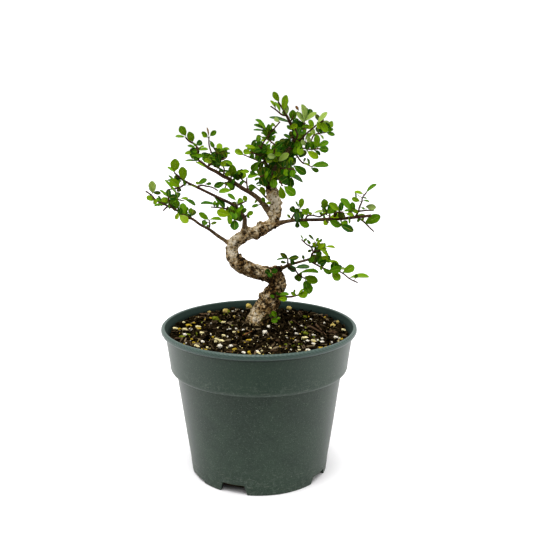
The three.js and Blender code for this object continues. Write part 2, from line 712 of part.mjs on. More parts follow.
const CROWN = {
  name: "crown",
  depth: [18, 10],
  collar: 3.3,
  stem: [
    [10, 248, 4.1],
    [11.5, 255, 3.4],
    [16, 262, 2.9],
    [21, 268, 2.6],
    [25, 274, 2.3],
    [29, 280, 1.8],
    [29.7, 287, 1.4],
    [28.3, 291, 1.2],
    [25.8, 296, 1.1],
    [23.8, 300, 0.9],
    [21, 305, 0.7],
    [16, 312.6, 0.5],
  ],
  twigs: [
    { way: [[22.7, 301.5], [19, 302.4], [15, 305.6], [9.7, 309.2]], reach: 12 },
    { way: [[29, 280], [35, 281.8], [38.2, 285.8], [45.5, 292], [48.1, 294.3], [52.7, 297.3]], reach: -20 },
    { way: [[37.7, 285.2], [37.8, 291.5], [37.2, 295.5], [38.5, 299]], reach: 18 },
    { way: [[35.4, 282.2], [33, 289.5], [33.2, 295]], reach: 10 },
    { way: [[29, 280], [36, 279.5], [42.4, 280.2], [46, 285.8], [54.8, 287.9]], reach: 24 },
    { way: [[25.5, 274.7], [33.2, 275], [38.3, 274.8], [43.5, 274], [49.8, 274.5]], reach: -26 },
    { way: [[25.5, 274.5], [31, 269.3], [36.3, 263], [40, 261.5], [44.4, 259.4]], reach: 26 },
    {
      way: [[11.5, 256], [5, 264], [3, 268], [2, 275.5], [4.6, 281], [10.8, 288.9], [17.5, 296.6]],
      reach: -24,
    },
    { way: [[3.3, 268], [-1.5, 270], [-6.7, 271.3]], reach: -8 },
    { way: [[10.8, 257.5], [5, 262], [-1.7, 265], [-6.2, 266.8], [-13, 269.6]], reach: 26 },
    { way: [[11, 253], [6, 252.6], [1.5, 251.5]], reach: -22 },
    { way: [[12, 256], [16.5, 249], [19.5, 244]], reach: -16 },
    { way: [[14, 259], [22, 258], [29, 257.6]], reach: -24 },
    { way: [[12.5, 256.8], [20, 253], [27, 249.5]], reach: 26 },
    { way: [[16, 262], [12.5, 268], [13, 274]], reach: -16 },
    { way: [[21, 268], [19.5, 275], [19, 281]], reach: 20 },
    { way: [[25.8, 296], [28, 300]], reach: -8 },
    { way: [[29.5, 285], [25.8, 283.2]], reach: -8 },
    { way: [[2, 275.5], [-1.5, 277.5], [-4.4, 278.6]], reach: 8 },
    { way: [[5, 264], [1.5, 263.5]], reach: -8 },
    { way: [[21, 268], [14, 277], [6, 283]], reach: 30 },
    { way: [[29, 280], [32, 285], [30, 291]], reach: -24 },
  ],
  leaves: [
    [16.5, 313.3, 12, 320.5, 5],
    [20.5, 306, 22.8, 318, 5.8],
    [23, 302.6, 23.3, 309.4, 3, 1],
    [13.8, 307.6, 9.9, 313.2, 2],
    [17.5, 304.6, 13.7, 312, 2.2],
    [25.6, 296, 10.4, 300, 2.2, -1],
    [37.5, 296, 31.3, 303.6, 4.5],
    [37.8, 297, 35.6, 309.3, 5],
    [38.5, 297.5, 46.6, 303.4, 4],
    [38.5, 299, 43, 306, 5, -1],
    [38, 299, 39.5, 307, 3, -1],
    [32.8, 306, 30.5, 309.2, 2],
    [27.8, 290, 23.6, 293.2, 2.8],
    [48.6, 296, 55.6, 303.4, 3.3],
    [57, 294.5, 61.3, 294.8, 4.5],
    [55, 289.5, 61, 290.5, 3],
    [56.3, 287.9, 62.3, 286, 3],
    [40, 291, 44.5, 294, 3.5],
    [48.7, 276, 48, 285.3, 4.5],
    [49.2, 276, 57, 280, 4],
    [49.7, 274.5, 57.2, 273.8, 4.8],
    [46.6, 273.3, 50.8, 269.6, 2.2, -1],
    [40.4, 272.5, 48.7, 267.3, 4.8],
    [27.6, 282.6, 21.2, 285.7, 2.2],
    [44.4, 260, 57, 261.2, 4.5],
    [43.8, 258.4, 49.5, 256, 3.5],
    [42, 260.5, 40.5, 266, 1.8],
    [37.3, 263, 41.5, 261, 1.5],
    [16.3, 264.2, 24, 270, 5, 1],
    [19.3, 262.6, 30.3, 255, 3],
    [29.2, 260.5, 38.5, 254.3, 5.5],
    [10, 249, 19, 257.5, 4, 1],
    [23.5, 253, 35.8, 247.8, 3.5, -1],
    [25.5, 254.5, 34, 249.7, 2],
    [5, 292, -2, 297.6, 3],
    [3.6, 291, -3.2, 294, 3],
    [3, 289.4, -3, 289.7, 1.5],
    [6, 291.5, 9.3, 293.6, 2],
    [5.6, 287, 2.2, 287.5, 1.5],
    [10.8, 287.2, 15, 287.2, 1.2],
    [2.6, 284.2, -1.6, 284.8, 1.8],
    [-2.2, 275, -10.5, 276.7, 2.5],
    [0.5, 264, -5.5, 257, 5.5],
    [0, 253, -8.7, 251.2, 3.5],
    [1.6, 250.2, -3.4, 248.5, 2],
    [1, 246.8, -2.3, 245, 1.5],
    [17.8, 243.2, 20.3, 233.6, 5],
    [21.3, 243, 29.8, 236.5, 6.5],
  ],
  spots: [
    [28, 301.6, 5.5, 7.5],
    [32, 295, 6, 8, -1],
    [49, 299.5, 3, 6, -1],
    [55.3, 296, 3.5, 5],
    [53.7, 292.7, 4.5, 9],
    [43.7, 295.3, 3.5, 6],
    [45, 287.8, 4, 6],
    [45.5, 279.6, 2, 4],
    [41, 280.8, 3, 7, 1],
    [37.2, 279.2, 3, 5, 1],
    [33.2, 272.5, 5, 6, -1],
    [28.4, 271, 4.5, 6, -1],
    [36.2, 270, 4.5, 7, -1],
    [38, 265, 1.8, 4],
    [30, 287, 5, 8],
    [33, 285.5, 4, 6],
    [25.6, 282.7, 2, 4],
    [18.9, 280.6, 5, 7, -1],
    [13.2, 276.8, 3, 7],
    [12.6, 272.4, 6, 8, -1],
    [11, 268.3, 4, 6, 1],
    [26, 265.2, 7, 9, -1],
    [14, 259.4, 3.5, 5],
    [9.7, 291, 3, 4],
    [12.3, 294, 2, 4],
    [5.7, 286, 3, 4],
    [4.6, 283.4, 2.5, 4],
    [10.5, 282.7, 4, 6],
    [7.4, 279.8, 1.5, 4],
    [-0.7, 281.7, 3.8, 5],
    [15, 298, 3, 5],
    [-16, 271.3, 4.5, 7.5],
    [-9.5, 271.8, 4, 6],
    [-5.6, 269, 3.5, 5],
    [-4.4, 279, 2.5, 4],
    [3.3, 254, 8, 9, -1],
    [2.2, 248.5, 5, 7, -1],
    [12.6, 245.4, 5.5, 6],
    [20, 248, 6, 8, -1],
    [26.8, 246.7, 5.5, 8],
    [7.6, 252, 6, 7, -1],
  ],
};

// The small shoots on the trunk. Their stems also give the depth of each point.
const LOW_SPRIG = {
  name: "sprig_low",
  depth: [19, 12],
  collar: 10,
  stem: [[9, 146.5, 0.8], [20, 147.4, 0.6], [24.4, 147.5, 0.5], [28.5, 147.8, 0.5], [34.4, 149.8, 0.45]],
  twigs: [{ way: [[20.5, 147.4], [16.5, 147], [13, 147.6]], reach: -4 }],
  leaves: [
    [31.7, 149.5, 29.3, 153, 2.5],
    [34.4, 150.5, 41, 153.3, 2],
  ],
  spots: [
    [22, 150.4, 3.2, 7.5, 1],
    [22.5, 145, 5, 7, 1],
    [12, 148, 2.8, 4.5, 1],
    [37.6, 149, 5.8, 8, 1],
  ],
};

const KNEE_SPROUT = {
  name: "sprout_knee",
  depth: [22, 10],
  collar: 8.6,
  stem: [[11, 164.5, 0.8], [10.4, 168.4, 0.5]],
  twigs: [],
  leaves: [],
  spots: [[7.2, 169, 5, 6, 1], [13.6, 170.3, 4, 5, 1]],
};

const BASE_SUCKER = {
  name: "sucker_base",
  depth: [22, 4],
  collar: 11.5,
  stem: [[6, 127, 0.8], [11.5, 129.5, 0.55], [12.6, 131, 0.45]],
  twigs: [],
  leaves: [],
  spots: [[12.5, 133.4, 3.5, 5, 1], [14, 126, 4.5, 7, 1], [17, 129, 2, 3.5], [7.6, 131.4, 2.5, 4, -1]],
};

const LEAFY_PARTS = [
  KNEE_SPROUT,
  LOW_SPRIG,
  BASE_SUCKER,
  LEFT_LOW,
  LEFT_MID,
  RIGHT_MID,
  RIGHT_LOW,
  LEFT_HIGH,
  CROWN,
];

// Every point of a stem or twig, as its place in the picture, its depth and its radius.

function stemCourse(part) {
  const [first, last] = part.depth;
  const spread = part.stem.length - 1;
  return part.stem.map(([x, z, radius], i) => {
    const depth = THREE.MathUtils.lerp(first, last, i / spread);
    return { x, z, depth, radius, point: at(x, z, depth) };
  });
}

// The nearest place to x and z, in the picture, on any of the courses.
function nearestOn(courses, x, z) {
  let best = { distance: Infinity };
  for (const course of courses) {
    for (let i = 1; i < course.length; i++) {
      const [a, b] = [course[i - 1], course[i]];
      const run = new THREE.Vector2(b.x - a.x, b.z - a.z);
      const reach = new THREE.Vector2(x - a.x, z - a.z);
      const share = THREE.MathUtils.clamp(reach.dot(run) / run.lengthSq(), 0, 1);
      const foot = { x: a.x + run.x * share, z: a.z + run.y * share };
      const distance = Math.hypot(x - foot.x, z - foot.z);
      if (distance < best.distance) {
        best = { ...foot, distance, depth: THREE.MathUtils.lerp(a.depth, b.depth, share) };
      }
    }
  }
  return best;
}

function twigCourse(twig, courses) {
  const [footX, footZ] = twig.way[0];
  const start = nearestOn(courses, footX, footZ).depth;
  const spread = twig.way.length - 1;
  return twig.way.map(([x, z], i) => {
    const depth = start + (twig.reach * i) / spread;
    const radius = THREE.MathUtils.lerp(TWIG_RADIUS, SHOOT_RADIUS, i / spread);
    return { x, z, depth, radius, point: at(x, z, depth) };
  });
}

// Leaf blades: a folded and arched plate, pointed at both ends.
// An outline is how far along the leaf each point is, and its share of the half width.
const TOOTHED_EDGE = [[0.2, 0.68], [0.45, 1], [0.53, 0.84], [0.76, 0.74], [0.81, 0.52]];
const NOTCHED_EDGE = [[0.24, 0.82], [0.52, 1], [0.6, 0.82], [0.83, 0.54]];
const PLAIN_EDGE = [[0.3, 0.94], [0.7, 0.8]];
const TOOTHED_LENGTH = 11;
const NOTCHED_LENGTH = 8.6;

function edgeFor(length) {
  if (length >= TOOTHED_LENGTH) {
    return TOOTHED_EDGE;
  }
  return length >= NOTCHED_LENGTH ? NOTCHED_EDGE : PLAIN_EDGE;
}

// The foot of the leaf may be bare up to a share of its length, where its stalk is.
function blade({ root, tip, width, face, bare, spare = 0 }) {
  const along = tip.clone().sub(root);
  const length = along.length() + spare;
  along.normalize();
  const across = face.clone().cross(along).normalize();
  const up = along.clone().cross(across);
  const half = width / 2 + spare;
  const edge = edgeFor(length * (1 - bare)).map(([u, v]) => [bare + u * (1 - bare), v * half]);
  const rim = [...edge.map(([u, v]) => [u, -v]), [1, 0], ...edge.toReversed()];
  const outline = [[0, 0], ...rim];
  const ring = outline.length;
  const ribbed = edge.length > PLAIN_EDGE.length;
  const places = ribbed ? [...outline, [(1 + bare) / 2, 0]] : outline;
  const hub = ribbed ? ring : 0;
  const arch = ribbed ? BLADE_ARCH * length : 0;
  const fold = ribbed ? BLADE_FOLD : 0;
  const thickness = BLADE_THICKNESS / 2 + spare;
  const corners = [];
  for (const lift of [thickness, -thickness]) {
    for (const [u, v] of places) {
      const corner = root.clone().addScaledVector(along, u * length);
      corner.addScaledVector(across, v);
      corner.addScaledVector(up, lift + Math.abs(v) * fold + arch * 4 * u * (1 - u));
      corners.push(...corner.toArray());
    }
  }
  const under = places.length;
  const faces = [];
  for (let i = 0; i < ring; i++) {
    const next = (i + 1) % ring;
    if (i !== hub && next !== hub) {
      faces.push(hub, i, next);
      faces.push(under + hub, under + next, under + i);
    }
    faces.push(under + i, under + next, next);
    faces.push(under + i, next, i);
  }
  const geometry = new THREE.BufferGeometry();
  geometry.setAttribute("position", new THREE.Float32BufferAttribute(corners, 3));
  geometry.setIndex(faces);
  return solid(geometry);
}

// Where a leaf grows, from its foot, tip and width in the picture.
// A leaf that looks wide for its length points towards or away from the eye, and one that looks
// slim is rolled. Side is -1 for towards the eye and 1 for away from it.
function growLeaf(courses, [footX, footZ, tipX, tipZ, seenWidth], side) {
  const anchor = nearestOn(courses, footX, footZ);
  const seenLength = Math.hypot(tipX - footX, tipZ - footZ);
  const trueLength = THREE.MathUtils.clamp(
    seenWidth / BLADE_RATIO,
    seenLength,
    seenLength * MOST_STRETCH,
  );
  const lean = Math.sqrt(trueLength ** 2 - seenLength ** 2);
  const drift = seenLength * (0.12 + 0.3 * chance(tipX, tipZ));
  const footDepth = anchor.depth + side * anchor.distance * 0.5;
  const tipDepth = footDepth + side * Math.max(lean, drift);
  const twig = at(anchor.x, anchor.z, anchor.depth);
  const foot = at(footX, footZ, footDepth);
  const tip = at(tipX, tipZ, tipDepth);
  const width = Math.max(seenWidth, seenLength * BLADE_RATIO);
  const roll = Math.min(Math.acos(seenWidth / width), MOST_ROLL);
  const along = tip.clone().sub(foot).normalize();
  const toEye = EYE.clone().sub(tip).normalize();
  const front = toEye.addScaledVector(along, -toEye.dot(along)).normalize();
  const turns = [roll, -roll].map((angle) => front.clone().applyAxisAngle(along, angle));
  const face = turns[0].z > turns[1].z ? turns[0] : turns[1];
  return { twig, foot, tip, width, face };
}

// The solids of one leaf: its blade, and a stalk where the blade stands off its twig.
function leafSolids(growth, spare) {
  const { twig, foot, tip, width, face } = growth;
  const gap = twig.distanceTo(foot);
  const outward = tip.clone().sub(foot).normalize();
  if (gap <= LONGEST_BARE_FOOT) {
    const bare = gap / twig.distanceTo(tip);
    return [blade({ root: twig, tip, width, face, bare: bare * 0.8, spare })];
  }
  const sunk = foot.clone().addScaledVector(outward, STALK_SINK);
  const radius = STALK_RADIUS + (spare ?? 0);
  const stalk = limb([{ point: twig, radius }, { point: sunk, radius }], TWIG_SIDES);
  return [stalk, blade({ root: foot, tip, width, face, bare: 0, spare })];
}

// The leaf without its foot, which is what may not cross its own branch.
function outerBlade({ twig, tip, width, face }) {
  const root = twig.clone().lerp(tip, FOOT_SHARE);
  return blade({ root, tip, width, face, bare: 0 });
}

function asLeaf(courses, [x, z, width, length, place]) {
  const anchor = nearestOn(courses, x, z);
  const away = new THREE.Vector2(x - anchor.x, z - anchor.z);
  if (away.length() < 0.5) {
    away.set(chance(x, z) - 0.5, 0.4);
  }
  away.setLength(Math.max(length, width) / 2);
  return [x - away.x, z - away.y, x + away.x, z + away.y, width, place];
}

function clearOf(neighbours, pieces) {
  return pieces.every((piece) => neighbours.every((other) => piece.intersect(other).isEmpty()));
}

// The wood and leaves of one leafy part. A leaf is bent clear of what stands already, and a leaf
// that can't be is left off.
function makeLeafy(part, standing) {
  const whole = stemCourse(part);
  const courses = [whole];
  for (const twig of part.twigs) {
    courses.push(twigCourse(twig, courses));
  }
  const stem = stretch(whole, part.collar + CLEARANCE, lengthOf(whole));
  const pieces = [limb(stem, STEM_SIDES)];
  courses.slice(1).forEach((course) => pieces.push(limb(course, TWIG_SIDES)));
  const all = [...part.leaves, ...part.spots.map((spot) => asLeaf(courses, spot))];
  const leaves = all.filter((leaf) => leaf[4] >= NARROWEST_LEAF);
  const wood = [...pieces];
  const blades = [];
  for (const leaf of leaves) {
    const place = leaf[5] ?? 0;
    const side = place === 0 ? (chance(leaf[0], leaf[1]) < 0.5 ? -1 : 1) : -place;
    const growths = LEANS.map((lean) => growLeaf(courses, leaf, lean * side));
    const free = growths.filter((growth) => clearOf(standing, leafSolids(growth, CLEARANCE)));
    const taken = [...wood, ...blades];
    const open = free.find((growth) => clearOf(taken, [outerBlade(growth)]));
    const chosen = open ?? free[0];
    if (chosen) {
      pieces.push(...leafSolids(chosen));
      blades.push(leafSolids(chosen).at(-1));
    }
  }
  return joined(pieces);
}

function collarOf(part) {
  const whole = stemCourse(part);
  const collar = stretch(whole, 0, part.collar);
  const thicker = collar.map(({ point, radius }) => ({ point, radius: radius + COLLAR_SWELL }));
  return limb(thicker, STEM_SIDES);
}

function makeTrunk() {
  const stem = limb(courseOf(TRUNK), TRUNK_SIDES);
  const knobs = TRUNK_KNOBS.map(([x, z, radius, depth]) => {
    const { x: px, y: py, z: pz } = at(x, z, depth);
    return solid(new THREE.IcosahedronGeometry(radius, 0).translate(px, py, pz));
  });
  const parts = LEAFY_PARTS.filter((part) => part !== CROWN);
  return joined([stem, ...knobs, ...parts.map(collarOf)]);
}

// The soil

function soilHeight(x, y) {
  const radius = Math.hypot(x, y - 20);
  const mound = SOIL_MOUND * Math.exp(-((radius / 30) ** 2));
  const waves = Math.sin(x * 0.21 + 1.3) * Math.cos(y * 0.17) + Math.sin(x * 0.43 - y * 0.36);
  return SOIL_LEVEL + mound + SOIL_RELIEF * waves;
}

function insideRadius(height) {
  const rows = potInside();
  for (let i = 1; i < rows.length; i++) {
    const [[topRadius, top], [footRadius, foot]] = [rows[i - 1], rows[i]];
    if (height <= top && height >= foot) {
      return THREE.MathUtils.mapLinear(height, foot, top, footRadius, topRadius);
    }
  }
  return rows[0][0];
}

function soilBody() {
  const heights = [FLOOR_TOP + CLEARANCE, ...potInside().slice(1, 5).map(([, height]) => height)];
  const edge = [...new Set([...heights, SOIL_LEVEL - 2])].sort((a, b) => a - b);
  const wallSide = edge.map((height) => [insideRadius(height) - CLEARANCE * 1.3, height]);
  const brim = insideRadius(SOIL_LEVEL - 2) - CLEARANCE * 1.3;
  const top = [];
  for (let ring = 0; ring <= SOIL_RINGS; ring++) {
    top.push([brim * (1 - ring / SOIL_RINGS), SOIL_LEVEL]);
  }
  const profile = [[0, FLOOR_TOP + CLEARANCE], ...wallSide, ...top];
  const points = profile.map(([radius, height]) => new THREE.Vector2(radius, height));
  const geometry = turned(points, POT_SIDES);
  const corners = geometry.getAttribute("position");
  for (let i = 0; i < corners.count; i++) {
    if (corners.getZ(i) > SOIL_LEVEL - 1) {
      corners.setZ(i, soilHeight(corners.getX(i), corners.getY(i)));
    }
  }
  return solid(geometry);
}

// Grains lie on a sunflower's spiral, so they cover the soil evenly.
function grainPlace(i, count, phase) {
  const radius = GRAIN_SPREAD * Math.sqrt((i + 0.6) / count);
  const angle = i * SUNFLOWER_ANGLE + phase + chance(i, phase);
  const [x, y] = [radius * Math.cos(angle), radius * Math.sin(angle)];
  return [x, y, soilHeight(x, y)];
}

function makeSoil(trunk) {
  const grains = [];
  for (let i = 0; i < PERLITE_COUNT; i++) {
    const size = PERLITE_RADIUS * (1 + 0.8 * chance(i, 3));
    const [x, y, z] = grainPlace(i, PERLITE_COUNT, 0.7);
    grains.push(solid(new THREE.OctahedronGeometry(size, 0).translate(x, y, z)));
  }
  for (let i = 0; i < BARK_COUNT; i++) {
    const length = BARK_LENGTH * (1 + 1.2 * chance(i, 8));
    const strip = new THREE.BoxGeometry(length, BARK_WIDTH, BARK_THICKNESS);
    strip.rotateY(0.3 * (chance(i, 5) - 0.5));
    strip.rotateZ(Math.PI * chance(i, 6));
    const [x, y, z] = grainPlace(i, BARK_COUNT, 2.2);
    grains.push(solid(strip.translate(x, y, z - 0.1)));
  }
  const spare = CLEARANCE * 1.4;
  const wider = courseOf(TRUNK.slice(0, 5)).map(({ point, radius }) => ({ point, radius: radius + spare }));
  wider[0].point.z -= spare;
  return joined([soilBody(), ...grains]).subtract(limb(wider, TRUNK_SIDES)).subtract(trunk);
}

function finish(color, roughness) {
  return new THREE.MeshStandardMaterial({ color, roughness, metalness: 0 });
}

const POT_FINISH = finish(0x4a5650, 0.55);
const SOIL_FINISH = finish(0x2a2018, 0.95);
const BARK_FINISH = finish(0x9a8c74, 0.9);
const LEAF_FINISH = finish(0x3f7a1c, 0.5);

const bonsai = new THREE.Group();

function place(name, made, material) {
  const mesh = new THREE.Mesh(geometryOf(made), material);
  mesh.name = name;
  bonsai.add(mesh);
}

const trunk = makeTrunk();
place("pot", makePot(), POT_FINISH);
place("soil", makeSoil(trunk), SOIL_FINISH);
place("trunk", trunk, BARK_FINISH);
const standing = [trunk];
for (const part of LEAFY_PARTS) {
  const made = makeLeafy(part, standing);
  standing.push(made);
  place(part.name, made, LEAF_FINISH);
}

export default bonsai;
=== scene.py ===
# %% [markdown]
# # A Chinese elm bonsai in its nursery pot
# The tree and its pot are already there as exact solids. This lesson gives them the look of the
# real thing: a scuffed plastic pot, a crumbly potting mix, a lumpy trunk, thin twigs and some seven
# hundred small leaves. Everything is in metres in Blender, but the sizes below are written in
# millimetres, because that is how one measures a small tree.

# %% Load the frame
import math
from collections import namedtuple

import bpy
from mathutils import Euler, Matrix, Vector


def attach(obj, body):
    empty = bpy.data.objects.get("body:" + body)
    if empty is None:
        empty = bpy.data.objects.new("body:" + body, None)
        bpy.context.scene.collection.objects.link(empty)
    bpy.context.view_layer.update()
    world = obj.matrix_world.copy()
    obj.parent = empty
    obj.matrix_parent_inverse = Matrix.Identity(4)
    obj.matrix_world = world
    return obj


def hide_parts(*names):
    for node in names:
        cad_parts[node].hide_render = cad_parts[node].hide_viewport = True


MM = 0.001
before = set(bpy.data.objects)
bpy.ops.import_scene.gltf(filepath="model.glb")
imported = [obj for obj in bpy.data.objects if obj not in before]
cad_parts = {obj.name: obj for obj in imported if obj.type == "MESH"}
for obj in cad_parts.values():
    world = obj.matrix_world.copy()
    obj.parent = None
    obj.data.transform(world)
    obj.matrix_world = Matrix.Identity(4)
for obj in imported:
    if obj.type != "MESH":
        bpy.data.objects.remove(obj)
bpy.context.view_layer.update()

# %% [markdown]
# Blender's operators act on all that is selected, and on the active object. So each step starts by
# clearing the selection. The helpers here select one piece, pick points of it by their place, and
# add a modifier and apply it at once, which leaves plain mesh behind.

# %% Selection and modifier helpers
def deselect():
    if bpy.context.object and bpy.context.object.mode != "OBJECT":
        bpy.ops.object.mode_set(mode="OBJECT")
    bpy.ops.object.select_all(action="DESELECT")


def only(piece):
    deselect()
    piece.select_set(True)
    bpy.context.view_layer.objects.active = piece


def pick(piece, test):
    """Opens the piece in edit mode with the points selected whose place passes the test."""
    only(piece)
    bpy.ops.object.mode_set(mode="EDIT")
    bpy.ops.mesh.select_mode(type="VERT")
    bpy.ops.mesh.select_all(action="DESELECT")
    bpy.ops.object.mode_set(mode="OBJECT")
    for point in piece.data.vertices:
        point.select = test(point.co)
    bpy.ops.object.mode_set(mode="EDIT")


def pick_points(piece, indices):
    """Opens the piece in edit mode with the points of these numbers selected."""
    pick(piece, lambda place: False)
    bpy.ops.object.mode_set(mode="OBJECT")
    for index in indices:
        piece.data.vertices[index].select = True
    bpy.ops.object.mode_set(mode="EDIT")


def apply_modifier(piece, kind, **settings):
    only(piece)
    modifier = piece.modifiers.new(kind.title(), kind)
    for name, value in settings.items():
        setattr(modifier, name, value)
    bpy.ops.object.modifier_apply(modifier=modifier.name)


def join(pieces, name):
    deselect()
    for piece in pieces:
        piece.select_set(True)
    bpy.context.view_layer.objects.active = pieces[0]
    if len(pieces) > 1:
        bpy.ops.object.join()
    whole = bpy.context.object
    whole.name = whole.data.name = name
    return whole


def smooth(piece, degrees):
    only(piece)
    bpy.ops.object.shade_smooth_by_angle(angle=math.radians(degrees))


def report(piece):
    corners = [Vector(corner) / MM for corner in piece.bound_box]
    low = [round(min(c[i] for c in corners)) for i in range(3)]
    high = [round(max(c[i] for c in corners)) for i in range(3)]
    print(piece.name, len(piece.data.polygons), "faces, from", low, "to", high, "mm")


# %% [markdown]
# A number that looks random but always belongs to the same place lets leaves and grains differ from
# each other, while every run gives the same result. The second function picks a size from a range
# with it.

# %% A number from 0 to 1 for each place
def chance(x, z):
    wave = math.sin(x * 12.9898 + z * 78.233) * 43758.5453
    return wave - math.floor(wave)


def from_range(ends, share):
    return ends[0] + (ends[1] - ends[0]) * share


# %% [markdown]
# The camera stands where the photographer stood: about 65 cm from the pot and a little above the
# tree, looking down by 12 degrees. A long lens keeps the lines calm.

# %% Camera
# The photograph was read on an upright plane, this far behind the pot's axis.
PLANE = 18
EYE = Vector((6.3, -634, 316))
PITCH_DOWN = 12.28
LENS = 52.35

deselect()
tilt = (math.radians(90 - PITCH_DOWN), 0, 0)
bpy.ops.object.camera_add(location=EYE * MM, rotation=tilt)
camera = bpy.context.object
camera.name = "camera"
camera.data.lens = LENS
camera.data.sensor_width = 36
camera.data.clip_start = 0.01
bpy.context.scene.camera = camera
print("camera at", [round(v, 1) for v in EYE], "mm")

# %% [markdown]
# Materials are built as small sums of nodes. The class below wraps one socket, so that a mask can
# be written as an expression: `0.3 + mask * 0.5` adds the Math nodes by itself. Its method node adds
# any other kind of node.

# %% Shader expressions
class Wire:
    def __init__(self, tree, socket=None):
        self.tree = tree
        self.socket = socket

    def node(self, kind, settings=None, inputs=None, out=0):
        made = self.tree.nodes.new(kind)
        for name, value in (settings or {}).items():
            if name == "stops":
                set_stops(made.color_ramp, value)
            else:
                setattr(made, name, value)
        for name, value in (inputs or {}).items():
            if isinstance(value, Wire):
                self.tree.links.new(value.socket, made.inputs[name])
            else:
                made.inputs[name].default_value = value
        return Wire(self.tree, made.outputs[out])

    def maths(self, operation, *values):
        settings = {"operation": operation}
        return self.node("ShaderNodeMath", settings, dict(enumerate(values)))

    def __add__(self, other):
        return self.maths("ADD", self, other)

    def __radd__(self, other):
        return self.maths("ADD", other, self)

    def __sub__(self, other):
        return self.maths("SUBTRACT", self, other)

    def __mul__(self, other):
        return self.maths("MULTIPLY", self, other)


def set_stops(ramp, stops):
    while len(ramp.elements) < len(stops):
        ramp.elements.new(1)
    for element, (position, colour) in zip(ramp.elements, stops):
        element.position = position
        element.color = (*colour, 1)


# %% Shader vocabulary
def new_finish(name, roughness, specular=0.5):
    material = bpy.data.materials.new(name)
    material.use_nodes = True
    shader = material.node_tree.nodes["Principled BSDF"]
    shader.inputs["Roughness"].default_value = roughness
    shader.inputs["Specular IOR Level"].default_value = specular
    return material, shader, Wire(material.node_tree)


def feed(wire, shader, socket):
    wire.tree.links.new(wire.socket, shader.inputs[socket])


def size_of(value):
    return value.maths("ABSOLUTE", value)


def fraction(value):
    return value.maths("FRACT", value)


def place_of(base):
    return base.node("ShaderNodeTexCoord", out=3)


def part_of(vector, axis):
    """The x, y or z of a vector, known by 0, 1 or 2."""
    return vector.node("ShaderNodeSeparateXYZ", {}, {"Vector": vector}, out=axis)


def vector_maths(operation, vector, other, socket=1):
    return vector.node("ShaderNodeVectorMath", {"operation": operation}, {0: vector, socket: other})


def length_of(vector):
    return vector.node("ShaderNodeVectorMath", {"operation": "LENGTH"}, {0: vector}, out=1)


def written(base, name, out=2):
    """What the mesh holds under a name: a number, or with out=0 a colour."""
    return base.node("ShaderNodeAttribute", {"attribute_name": name}, out=out)


def noise(base, grain, detail=2, roughness=0.5, vector=None, distortion=0.0):
    """Cloudy noise whose grain is a size in millimetres."""
    inputs = {
        "Vector": vector or place_of(base),
        "Scale": 1 / (grain * MM),
        "Detail": detail,
        "Roughness": roughness,
        "Distortion": distortion,
    }
    return base.node("ShaderNodeTexNoise", {}, inputs)


def cells(base, grain, vector=None):
    """Distance to the nearest cell's middle, with cells of a size in millimetres."""
    inputs = {"Vector": vector or place_of(base), "Scale": 1 / (grain * MM)}
    return base.node("ShaderNodeTexVoronoi", {}, inputs)


def between(value, low, high, start=0.0, end=1.0):
    """Runs smoothly from start to end while the value runs from low to high."""
    inputs = {"Value": value, "From Min": low, "From Max": high, "To Min": start, "To Max": end}
    return value.node("ShaderNodeMapRange", {"interpolation_type": "SMOOTHSTEP"}, inputs)


def blend(mask, first, second):
    """The first colour where the mask is 0 and the second where it is 1."""
    colours = [c if isinstance(c, Wire) else (*c, 1) for c in (first, second)]
    inputs = {0: mask, 6: colours[0], 7: colours[1]}
    return mask.node("ShaderNodeMix", {"data_type": "RGBA"}, inputs, out=2)


def ramp(value, stops):
    return value.node("ShaderNodeValToRGB", {"stops": stops}, {"Fac": value})


def relief(height, distance, strength=1.0):
    """A bump whose height is a size in millimetres."""
    inputs = {"Height": height, "Distance": distance * MM, "Strength": strength}
    return height.node("ShaderNodeBump", {}, inputs)


def paint(piece, material):
    piece.data.materials.clear()
    piece.data.materials.append(material)


# %% [markdown]
# Studio photographs of plants on white are taken in a white tent: bright paper behind, beside and
# below, a big soft light overhead, and the dark room behind the camera. So the world is white but
# for a dark cone on the camera's side, which keeps the middle of the pot dark and gives its sides a
# pale sheen. A wide sun stands for the light from the tent's roof, and a softbox gives the leaves
# their small highlights. The standard view transform keeps white paper white.

# %% Light and floor
TENT_WHITE = 1.1
TENT_OPENING = 0.2
OVERHEAD = 1.8
OVERHEAD_SPREAD = 60
SOFTBOX = 3.2

scene = bpy.context.scene
scene.view_settings.view_transform = "Standard"
scene.view_settings.look = "None"

world = bpy.data.worlds.new("white_tent")
world.use_nodes = True
scene.world = world
tent = world.node_tree.nodes["Background"]
tent.inputs["Color"].default_value = (1, 1, 1, 1)
direction = Wire(world.node_tree).node("ShaderNodeTexCoord")
feed(between(part_of(direction, 1), -0.9, 0.0, TENT_OPENING, TENT_WHITE), tent, "Strength")


def lamp(kind, name, place, aim, power, **settings):
    deselect()
    turn = (Vector(aim) - Vector(place)).to_track_quat("-Z", "Y").to_euler()
    bpy.ops.object.light_add(type=kind, location=place, rotation=turn)
    light = bpy.context.object
    light.name = name
    light.data.energy = power
    for key, value in settings.items():
        setattr(light.data, key, value)
    return light


lamp("SUN", "overhead", (0.1, -0.5, 1.2), (0, 0, 0), OVERHEAD, angle=math.radians(OVERHEAD_SPREAD))
lamp("AREA", "softbox", (-0.25, -0.35, 0.95), (0, 0, 0.2), SOFTBOX, shape="DISK", size=0.36)

deselect()
bpy.ops.mesh.primitive_plane_add(size=8, location=(0, 0, -0.00005))
floor = bpy.context.object
floor.name = "floor"
bpy.ops.object.transform_apply(location=True)
print("floor of", round(floor.dimensions.x), "m")

